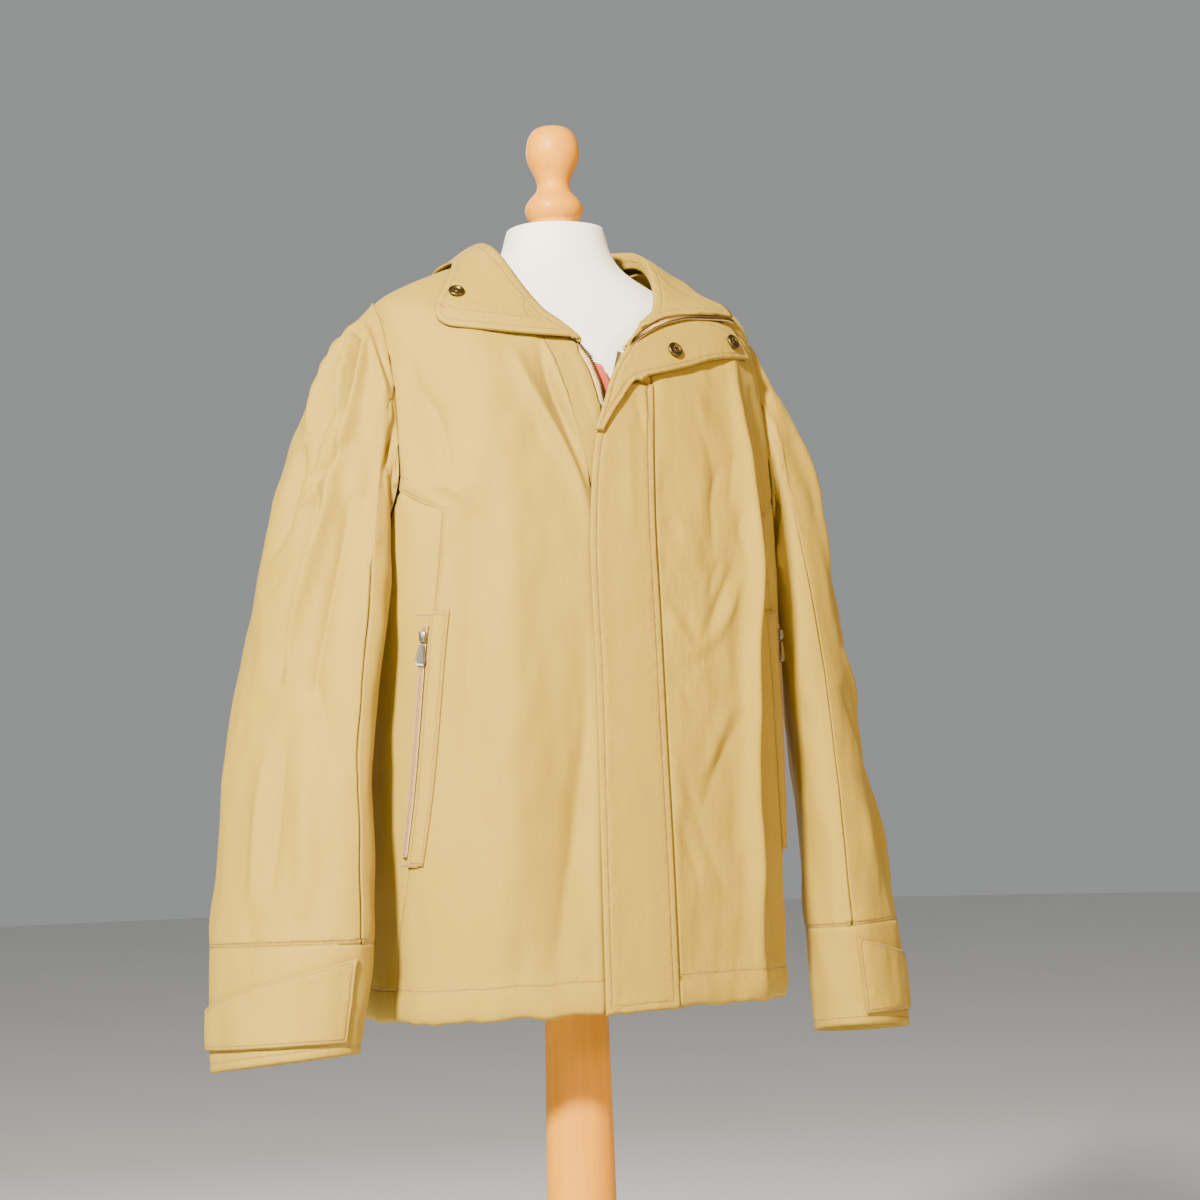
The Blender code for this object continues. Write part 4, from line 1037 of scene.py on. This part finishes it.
def make_stitches(settings):
    """Lays thread along every line kept on the cloth, on the side that shows."""
    groups = {}
    for node, line in STITCHES:
        tube = CLOTH[node][0]
        for centre, direction in zip(*even_steps(line, settings.stitch_step * MM)):
            spot, normal, _, _ = OUTER[node].find_nearest(Vector(centre))
            outward = outward_at(np.array([spot]), tube)[1][0]
            if node in ("collar", "storm_flap_top") or Vector(outward).dot(normal) > 0.0:
                groups.setdefault(tube, []).append((np.array(spot), direction, np.array(normal)))
    stitch = thread_shape(0.78 * settings.stitch_step * MM, settings.thread * MM)
    for tube, stitches in groups.items():
        centres, along, outward = (np.array(column) for column in zip(*stitches))
        mesh = repeat_shape(stitch, centres + outward * 0.1 * MM, along, outward)
        add_piece("stitches_" + tube, mesh, "thread")


# ------------------------------------------------------------------------ zips and trim

def node_slice(node, height):
    """Points where a CAD node's edges cross a height."""
    mesh = NODES[node].data
    points = get_points(mesh)
    ends = np.array([tuple(edge.vertices) for edge in mesh.edges])
    first, second = points[ends[:, 0]], points[ends[:, 1]]
    crossing = (first[:, 2] - height) * (second[:, 2] - height) < 0
    first, second = first[crossing], second[crossing]
    part = (height - first[:, 2]) / (second[:, 2] - first[:, 2])
    return first + (second - first) * part[:, None]


def zip_line(node, side, count=90):
    """The line of a front zip half's inner edge, and of its outer edge, from foot to top."""
    low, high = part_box(node)
    foot = low.z + 10 * MM
    inner, outer = [], []
    for i in range(count + 1):
        height = foot + (high.z - foot - 0.8 * MM) * i / count
        cut = node_slice(node, height)
        if len(cut) == 0:
            continue
        across = cut[:, 0] * SIDES[side]
        near = across < across.min() + 0.0004
        far = across > across.max() - 0.0004
        inner.append(cut[near].mean(axis=0))
        outer.append(cut[far].mean(axis=0))
    return np.array(inner), np.array(outer)


def strip_between(first, second, thickness):
    """A thin strip of tape between two lines of as many points."""
    shape = bmesh.new()
    rows = [[shape.verts.new(point) for point in line] for line in (first, second)]
    for i in range(len(first) - 1):
        shape.faces.new((rows[0][i], rows[1][i], rows[1][i + 1], rows[0][i + 1]))
    bmesh.ops.recalc_face_normals(shape, faces=shape.faces)
    bmesh.ops.solidify(shape, geom=shape.faces, thickness=thickness)
    bmesh.ops.recalc_face_normals(shape, faces=shape.faces)
    return to_mesh(shape, "strip")


def tooth_shape():
    """One metal tooth: a bevelled bar, X along the zip, -Y the tip."""
    shape = bmesh.new()
    bmesh.ops.create_cube(shape, size=1.0)
    bmesh.ops.scale(shape, vec=(1.25 * MM, 3.6 * MM, 1.7 * MM), verts=shape.verts)
    bmesh.ops.bevel(shape, geom=shape.edges, offset=0.3 * MM, segments=1, profile=0.5,
                    affect="EDGES", material=-1)
    return to_mesh(shape, "tooth")


def block_shape(size, bevel, place, taper=1.0):
    """A bevelled block, sized in mm and set by a matrix; taper narrows its lower end (-Y)."""
    shape = bmesh.new()
    bmesh.ops.create_cube(shape, size=1.0)
    bmesh.ops.scale(shape, vec=Vector(size) * MM, verts=shape.verts)
    for vert in shape.verts:
        if vert.co.y < 0:
            vert.co.x *= taper
    bmesh.ops.bevel(shape, geom=shape.edges, offset=bevel * MM, segments=2, profile=0.5,
                    affect="EDGES", material=-1)
    bmesh.ops.transform(shape, matrix=place, verts=shape.verts)
    return shape


def join_shapes(shapes):
    """Puts several bmeshes into one mesh."""
    whole = bmesh.new()
    for shape in shapes:
        part = to_mesh(shape, "part")
        whole.from_mesh(part)
        bpy.data.meshes.remove(part)
    return to_mesh(whole, "joined")


def node_frame(node):
    """A matrix at a CAD node's middle: Z out of its broadest faces, Y as near up as can be."""
    mesh = NODES[node].data
    middle = Vector(get_points(mesh).mean(axis=0))
    faces = sorted(mesh.polygons, key=lambda polygon: -polygon.area)
    outward = faces[0].normal.copy()
    if outward.y > 0:
        outward.negate()
    across = Vector((0.0, 0.0, 1.0)).cross(outward).normalized()
    upward = outward.cross(across)
    place = Matrix((across, upward, outward)).transposed().to_4x4()
    place.translation = middle
    return place


def turned_shape(profile, steps, place=None):
    """Spins a profile of radius and height about Z."""
    shape = bmesh.new()
    line = [shape.verts.new((radius, 0.0, height)) for radius, height in profile]
    edges = [shape.edges.new(pair) for pair in zip(line, line[1:])]
    bmesh.ops.spin(shape, geom=line + edges, cent=(0, 0, 0), axis=(0, 0, 1),
                   angle=2 * math.pi, steps=steps, use_merge=True)
    bmesh.ops.remove_doubles(shape, verts=shape.verts, dist=0.00001)
    bmesh.ops.recalc_face_normals(shape, faces=shape.faces)
    if place is not None:
        bmesh.ops.transform(shape, matrix=place, verts=shape.verts)
    return shape


TOOTH_STEP = 2.1  # mm from tooth to tooth of the brass zip, and the thickness of its tape
TAPE = 0.7
# the left zip half goes on under the edge of the turned-out collar: places in mm
WING_ZIP = (
    (15, -124, 1426), (29, -122, 1438), (45, -117, 1448), (60, -111.5, 1455), (74, -107, 1460),
    (95, -100.5, 1465), (120, -94, 1467), (145, -89.5, 1468), (155, -87, 1466),
)


def make_wing_zip(tooth):
    """The part of the left zip half that is turned out with the collar."""
    line = smooth_line(np.array(WING_ZIP) * MM)
    along = np.gradient(line, axis=0)
    along /= np.linalg.norm(along, axis=1)[:, None]
    outward = np.cross(along, np.tile((0.25, -0.60, -0.76), (len(line), 1)))
    outward /= -np.linalg.norm(outward, axis=1)[:, None]
    outward[outward[:, 1] > 0] *= -1.0
    inward = np.cross(along, outward)
    inward[inward[:, 2] < 0] *= -1.0
    tape = strip_between(line - inward * 2 * MM - outward * MM,
                         line + inward * 6 * MM - outward * 3 * MM, TAPE * MM)
    add_piece("collar_zip_tape", tape, "zip_tape")
    centres, along = even_steps(line, TOOTH_STEP * MM)
    outward = outward[nearest(centres, line)[1]]
    mesh = repeat_shape(tooth, centres, along, outward)
    add_piece("collar_zip_teeth", mesh, "antique_brass", smooth=False)


def make_main_zip():
    """The brass zip: tapes, teeth and slider."""
    tooth = tooth_shape()
    for side, sign in SIDES.items():
        node = "zip_" + side
        inner, outer = zip_line(node, side)
        step = np.array((sign * 0.9 * MM, 0.0, 0.0))
        under = np.array((sign * 3.5 * MM, 1.2 * MM, 0.0))
        tape = strip_between(inner + step, outer + under, TAPE * MM)
        piece = add_piece("zip_tape_" + side, tape, "zip_tape")
        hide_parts(node)
        centres, along = even_steps(inner, TOOTH_STEP * MM)
        outward = np.cross(along, np.tile((sign, 0.0, 0.0), (len(along), 1))) * sign
        outward /= np.linalg.norm(outward, axis=1)[:, None]
        if outward[0, 1] > 0:
            outward = -outward
        centres = centres + np.array((sign * 1.6 * MM, 0.0, 0.0))
        if side == "left":
            centres = centres + along * TOOTH_STEP / 2 * MM
        mesh = repeat_shape(tooth, centres, along, outward)
        add_piece("zip_teeth_" + side, mesh, "antique_brass", smooth=False)
    make_wing_zip(tooth)
    place = node_frame("main_slider")
    body = block_shape((9, 14.5, 2.2), 0.7, place, 0.7)
    bridge = block_shape((2.6, 8, 2), 0.6, place @ Matrix.Translation((0.0, 0.0, 0.3 * MM)))
    piece = add_piece("main_zip_slider", join_shapes([body, bridge]), "antique_brass")
    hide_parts("main_slider")


@functools.cache
def pocket_edges(side, count=60):
    """The two long edges of a pocket's coil zip, from foot to top."""
    node = "pocket_zip_" + side
    low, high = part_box(node)
    edges = ([], [])
    for i in range(count + 1):
        height = low.z + 0.001 + (high.z - low.z - 0.002) * i / count
        cut = node_slice(node, height)
        order = np.argsort(cut[:, 1])
        edges[0].append(cut[order[:2]].mean(axis=0))
        edges[1].append(cut[order[-2:]].mean(axis=0))
    return np.array(edges[0]), np.array(edges[1])


COIL_SIDES = 8    # places on each turn of a pocket's coil, which is pressed flat
COIL_WIDE = 1.25
COIL_HIGH = 0.62


def coil_mesh(line, outward, radius, pitch, wire):
    """A coil of wire wound round a line."""
    centres, along = even_steps(line, pitch / COIL_SIDES)
    across = np.cross(along, outward)
    across /= np.linalg.norm(across, axis=1)[:, None]
    up = np.cross(across, along)
    turn = np.arange(len(centres)) * 2 * np.pi / COIL_SIDES
    path = (centres + across * (np.cos(turn) * radius * COIL_WIDE)[:, None]
            + up * (np.sin(turn) * radius * COIL_HIGH)[:, None])
    curve = bpy.data.curves.new("coil", "CURVE")
    curve.dimensions = "3D"
    curve.bevel_depth = wire / 2
    curve.bevel_resolution = 0
    spline = curve.splines.new("POLY")
    spline.points.add(len(path) - 1)
    for point, place in zip(spline.points, path):
        point.co = (*place, 1.0)
    holder = link_object("coil", curve)
    bpy.context.view_layer.update()
    return bake(holder)


def make_pocket(side):
    """A pocket's coil zip, slider and pull tab."""
    first, second = pocket_edges(side)
    tape = strip_between(first, second, 0.8 * MM)
    piece = add_piece("pocket_tape_" + side, tape, "zip_tape")
    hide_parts("pocket_zip_" + side)
    place = node_frame("pocket_slider_" + side)
    outward = np.array(place.to_3x3() @ Vector((0.0, 0.0, 1.0)))
    middle = (first + second) / 2 + outward * 0.7 * MM
    coil = coil_mesh(middle, outward, 1.9 * MM, 1.8 * MM, 0.8 * MM)
    add_piece("pocket_coil_" + side, coil, "coil_zip")
    body = block_shape((7.2, 10, 3), 0.9, place, 0.8)
    bridge = block_shape((2.2, 6.5, 1.8), 0.5, place @ Matrix.Translation((0.0, 0.0, 1.6 * MM)))
    piece = add_piece("pocket_zip_slider_" + side, join_shapes([body, bridge]), "puller_metal")
    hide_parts("pocket_slider_" + side)
    make_pull_tab(side)


def make_pull_tab(side):
    """The triangular metal tab that hangs from a pocket slider."""
    node = "pull_tab_" + side
    shape = bmesh.new()
    shape.from_mesh(NODES[node].data)
    bmesh.ops.remove_doubles(shape, verts=shape.verts, dist=0.00002)
    bmesh.ops.dissolve_limit(shape, angle_limit=math.radians(2), verts=shape.verts,
                             edges=shape.edges)
    faces = sorted(shape.faces, key=lambda face: -face.calc_area())[:2]
    bmesh.ops.inset_individual(shape, faces=faces, thickness=2.0 * MM, depth=-0.35 * MM)
    bmesh.ops.bevel(shape, geom=[edge for edge in shape.edges if edge.calc_face_angle() > 0.5],
                    offset=0.25 * MM, segments=2, profile=0.5, affect="EDGES", material=-1)
    piece = add_piece("pocket_pull_" + side, to_mesh(shape, "tab"), "puller_metal",
                      body=node, smooth=False)
    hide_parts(node)


# press stud, as radius and height in mm from the middle of its face outwards
SNAP_PROFILE = (
    (0.0, 1.1), (0.9, 1.1), (1.5, 0.9), (2.2, 0.2), (3.2, 0.0), (4.4, 0.3), (5.2, 1.2), (6.0, 1.55),
    (7.0, 1.45), (7.7, 0.8), (7.8, -0.2), (7.4, -1.2), (0.0, -1.25),
)


def make_snaps():
    """Three press-stud halves with a rolled rim, a dished face and a starred middle."""
    for node in ("snap_collar", "snap_flap_inner", "snap_flap_outer"):
        place = node_frame(node)
        profile = [(radius * MM, height * MM) for radius, height in SNAP_PROFILE]
        shapes = [turned_shape(profile, 40, place)]
        for i in range(5):
            turn = Matrix.Rotation(2 * math.pi * i / 5, 4, "Z")
            spot = place @ turn @ Matrix.Translation((0.0, 3.0 * MM, 0.3 * MM))
            shapes.append(block_shape((0.9, 2.2, 0.7), 0.25, spot))
        piece = add_piece(node + "_stud", join_shapes(shapes), "antique_brass")
        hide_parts(node)


# ------------------------------------------------------------------------------- stand

# radius and height in mm from the top down; the lines between them are rounded
FINIAL = (
    (0.0, 1672.5), (10.0, 1671.3), (17.5, 1668.4), (22.4, 1663.4), (25.3, 1656.8), (26.8, 1648.6),
    (26.6, 1640.4), (24.2, 1632.1), (20.2, 1623.9), (16.8, 1615.6), (16.4, 1610.7), (18.2, 1604.1),
    (24.0, 1597.5), (28.4, 1590.9), (29.3, 1584.3), (26.5, 1577.7), (23.8, 1574.5), (22.8, 1569.7),
)
POST = (
    (30.2, 869.0), (31.0, 868.0), (31.2, 820.0), (31.8, 760.0), (33.5, 660.0), (34.5, 560.0),
    (34.0, 420.0), (31.5, 260.0), (29.0, 140.0), (33.0, 80.0), (40.0, 60.0), (40.0, 46.4),
)
BASE = (
    (59.0, 46.0), (62.0, 45.4), (90.0, 40.0), (150.0, 33.0), (190.0, 28.0), (198.0, 23.5),
    (200.0, 18.0), (200.0, 5.0), (199.0, 1.5), (196.5, 0.0),
)


def make_wood():
    """Finial, post and base, turned finer than their solids."""
    for name, profile, steps in (("finial", FINIAL, 72), ("post", POST, 64), ("base", BASE, 96)):
        line = smooth_line(np.array(profile) * MM, 4)
        line[:, 0] = np.clip(line[:, 0], 0.0, None)
        ends = [(0.0, line[0][1]), *map(tuple, line), (0.0, line[-1][1])]
        mesh = to_mesh(turned_shape(ends, steps), name)
        piece = add_piece("turned_" + name, mesh, "turned_wood")
        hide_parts(name)


def make_form():
    """The padded form in its jersey."""
    piece = add_piece("form_cover", fine_copy("dress_form", 2), "form_jersey")
    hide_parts("dress_form")


# ------------------------------------------------------------------------------- stage

# where the camera stands, and how it is turned: across, up and back
CAMERA_PLACE = (-1.013, -2.176, 1.040)
CAMERA_AZIMUTH = -25.8
CAMERA_PITCH = 3.58
CAMERA_ROLL = 1.67
CAMERA_LENS = 72.0


def make_camera():
    """The camera at the photo's angle, with a 36 mm wide sensor."""
    data = bpy.data.cameras.new("camera")
    data.lens = CAMERA_LENS
    data.sensor_width = 36.0
    data.clip_end = 60.0
    camera = link_object("camera", data)
    turn, pitch, roll = (math.radians(v) for v in (CAMERA_AZIMUTH, CAMERA_PITCH, CAMERA_ROLL))
    back = Vector((math.sin(turn), -math.cos(turn), 0.0))
    right = Vector((math.cos(turn), math.sin(turn), 0.0))
    ahead = -back * math.cos(pitch) + Vector((0, 0, math.sin(pitch)))
    upward = Vector((0, 0, math.cos(pitch))) + back * math.sin(pitch)
    across = right * math.cos(roll) - upward * math.sin(roll)
    upward = right * math.sin(roll) + upward * math.cos(roll)
    place = Matrix((across, upward, -ahead)).transposed().to_4x4()
    place.translation = Vector(CAMERA_PLACE)
    camera.matrix_world = place
    bpy.context.scene.camera = camera


def add_light(name, place, target, size, power, colour):
    """A soft area light that points at a target."""
    data = bpy.data.lights.new(name, "AREA")
    data.size = size
    data.energy = power
    data.color = to_linear(colour)[:3]
    light = link_object(name, data)
    light.location = place
    light.rotation_mode = "QUATERNION"
    light.rotation_quaternion = (Vector(target) - Vector(place)).to_track_quat("-Z", "Y")


def make_stage(settings):
    """Pale floor, pale surround and soft lights."""
    shape = bmesh.new()
    bmesh.ops.create_circle(shape, cap_ends=True, segments=96, radius=14.0)
    bmesh.ops.translate(shape, vec=(0.0, 0.0, -0.0005), verts=shape.verts)
    floor = link_object("floor", to_mesh(shape, "floor"))
    material, tree, shader = new_material("floor_pale_paint", Roughness=0.9)
    toned(tree, shader, scaled_noise(tree, 0.8), "#DAD9D5", "#E2E1DD")
    floor.data.materials.append(material)
    world = bpy.data.worlds.new("surround")
    world.use_nodes = True
    background = world.node_tree.nodes["Background"]
    background.inputs["Color"].default_value = to_linear("#DCDEDF")
    background.inputs["Strength"].default_value = settings.surround
    bpy.context.scene.world = world
    add_light("key", (-2.3, -2.2, 2.9), (0.0, 0.0, 1.15), 0.3, settings.key_power, "#FFF8EC")
    add_light("front", (1.0, -2.7, 2.0), (0.1, 0.0, 1.15), 0.5, settings.front_power, "#FFD08A")
    add_light("rear", (0.5, 2.8, 2.6), (0.0, 0.0, 1.2), 1.8, settings.rear_power, "#F4F6FF")


# ------------------------------------------------------------------------------ add-on

class ClothSettings(bpy.types.PropertyGroup):
    """Sizes of the cloth's folds and stitches."""
    crease_depth: FloatProperty(name="Crease depth", default=2.0, min=0.0, max=3.0,
                                description="How deep the creases are, against their table")
    wave_height: FloatProperty(name="Wave", default=4.0, min=0.0, max=8.0,
                               description="Height of the cloth's unevenness, in millimetres")
    hem_wave: FloatProperty(name="Hem wave", default=2.5, min=0.0, max=6.0,
                            description="How uneven the lower edge is, in millimetres")
    padding: FloatProperty(name="Padding", default=1.3, min=0.0, max=4.0,
                           description="How far the padding stands out, in millimetres")
    stitch_step: FloatProperty(name="Stitch", default=3.4, min=1.5, max=8.0,
                               description="Length of one stitch, in millimetres")
    thread: FloatProperty(name="Thread", default=0.62, min=0.2, max=1.5,
                          description="Thickness of the thread, in millimetres")


class StageSettings(bpy.types.PropertyGroup):
    """Strength of the lights."""
    key_power: FloatProperty(name="Key", default=690.0, min=0.0, unit="POWER",
                             description="Power of the main light, in watts")
    front_power: FloatProperty(name="Front", default=60.0, min=0.0, unit="POWER",
                               description="Power of the warm light in front, in watts")
    rear_power: FloatProperty(name="Rear", default=60.0, min=0.0, unit="POWER",
                              description="Power of the light behind, in watts")
    surround: FloatProperty(name="Surround", default=0.43, min=0.0, max=3.0,
                            description="Strength of the light from all round")


class WINDBREAKER_OT_body(bpy.types.Operator):
    """Makes the back, fronts, side panels and front bands"""
    bl_idname = "windbreaker.body"
    bl_label = "Body"

    def execute(self, context):
        settings = context.scene.windbreaker_cloth
        make_cloth("back", settings)
        for side in SIDES:
            for part in ("front_", "side_", "front_band_"):
                make_cloth(part + side, settings)
        return {"FINISHED"}


class WINDBREAKER_OT_sleeves(bpy.types.Operator):
    """Makes both sleeves, their cuffs and the tabs on them"""
    bl_idname = "windbreaker.sleeves"
    bl_label = "Sleeves"

    def execute(self, context):
        settings = context.scene.windbreaker_cloth
        for side in SIDES:
            for part in ("sleeve_top_", "sleeve_under_", "cuff_", "cuff_tab_"):
                make_cloth(part + side, settings)
        return {"FINISHED"}


class WINDBREAKER_OT_collar(bpy.types.Operator):
    """Makes the turned-out collar, the storm flap and the strip of lining"""
    bl_idname = "windbreaker.collar"
    bl_label = "Collar and flap"

    def execute(self, context):
        settings = context.scene.windbreaker_cloth
        for node in ("collar", "storm_flap", "storm_flap_top", "placket_lining"):
            make_cloth(node, settings)
        return {"FINISHED"}


class WINDBREAKER_OT_pockets(bpy.types.Operator):
    """Makes both slanted pockets with their welts, zips and pull tabs"""
    bl_idname = "windbreaker.pockets"
    bl_label = "Pockets"

    def execute(self, context):
        for side in SIDES:
            make_cloth("pocket_welt_" + side, context.scene.windbreaker_cloth)
            make_pocket(side)
        return {"FINISHED"}


class WINDBREAKER_OT_closures(bpy.types.Operator):
    """Makes the front zip and the press studs"""
    bl_idname = "windbreaker.closures"
    bl_label = "Zip and studs"

    def execute(self, context):
        make_main_zip()
        make_snaps()
        return {"FINISHED"}


class WINDBREAKER_OT_stitches(bpy.types.Operator):
    """Sews the lines of stitches on the cloth"""
    bl_idname = "windbreaker.stitches"
    bl_label = "Stitches"

    def execute(self, context):
        if not STITCHES:
            raise RuntimeError("Make the cloth before its stitches")
        make_stitches(context.scene.windbreaker_cloth)
        make_tacks(context.scene.windbreaker_cloth)
        return {"FINISHED"}


class WINDBREAKER_OT_stand(bpy.types.Operator):
    """Makes the dress form and its turned wooden stand"""
    bl_idname = "windbreaker.stand"
    bl_label = "Form and stand"

    def execute(self, context):
        make_form()
        make_wood()
        return {"FINISHED"}


class WINDBREAKER_OT_stage(bpy.types.Operator):
    """Makes the floor, lights and camera"""
    bl_idname = "windbreaker.stage"
    bl_label = "Stage"

    def execute(self, context):
        make_stage(context.scene.windbreaker_stage)
        make_camera()
        return {"FINISHED"}


STEPS = ("body", "sleeves", "collar", "pockets", "closures", "stitches", "stand", "stage")


class WINDBREAKER_PT_panel(bpy.types.Panel):
    """Lists the settings and the steps"""
    bl_idname = "WINDBREAKER_PT_panel"
    bl_label = "Windbreaker"
    bl_space_type = "VIEW_3D"
    bl_region_type = "UI"
    bl_category = "Windbreaker"

    def draw(self, context):
        for group in (context.scene.windbreaker_cloth, context.scene.windbreaker_stage):
            for name in group.__annotations__:
                self.layout.prop(group, name)
        for step in STEPS:
            self.layout.operator("windbreaker." + step)


CLASSES = (
    ClothSettings, StageSettings, WINDBREAKER_OT_body, WINDBREAKER_OT_sleeves,
    WINDBREAKER_OT_collar, WINDBREAKER_OT_pockets, WINDBREAKER_OT_closures,
    WINDBREAKER_OT_stitches, WINDBREAKER_OT_stand, WINDBREAKER_OT_stage, WINDBREAKER_PT_panel,
)


def register():
    """Registers the classes and their settings."""
    for item in CLASSES:
        bpy.utils.register_class(item)
    bpy.types.Scene.windbreaker_cloth = PointerProperty(type=ClothSettings)
    bpy.types.Scene.windbreaker_stage = PointerProperty(type=StageSettings)


def unregister():
    """Takes them away again."""
    del bpy.types.Scene.windbreaker_stage
    del bpy.types.Scene.windbreaker_cloth
    for item in reversed(CLASSES):
        bpy.utils.unregister_class(item)


def main():
    """Builds every piece in order."""
    register()
    for step in STEPS:
        getattr(bpy.ops.windbreaker, step)()


if __name__ == "__main__":
    main()
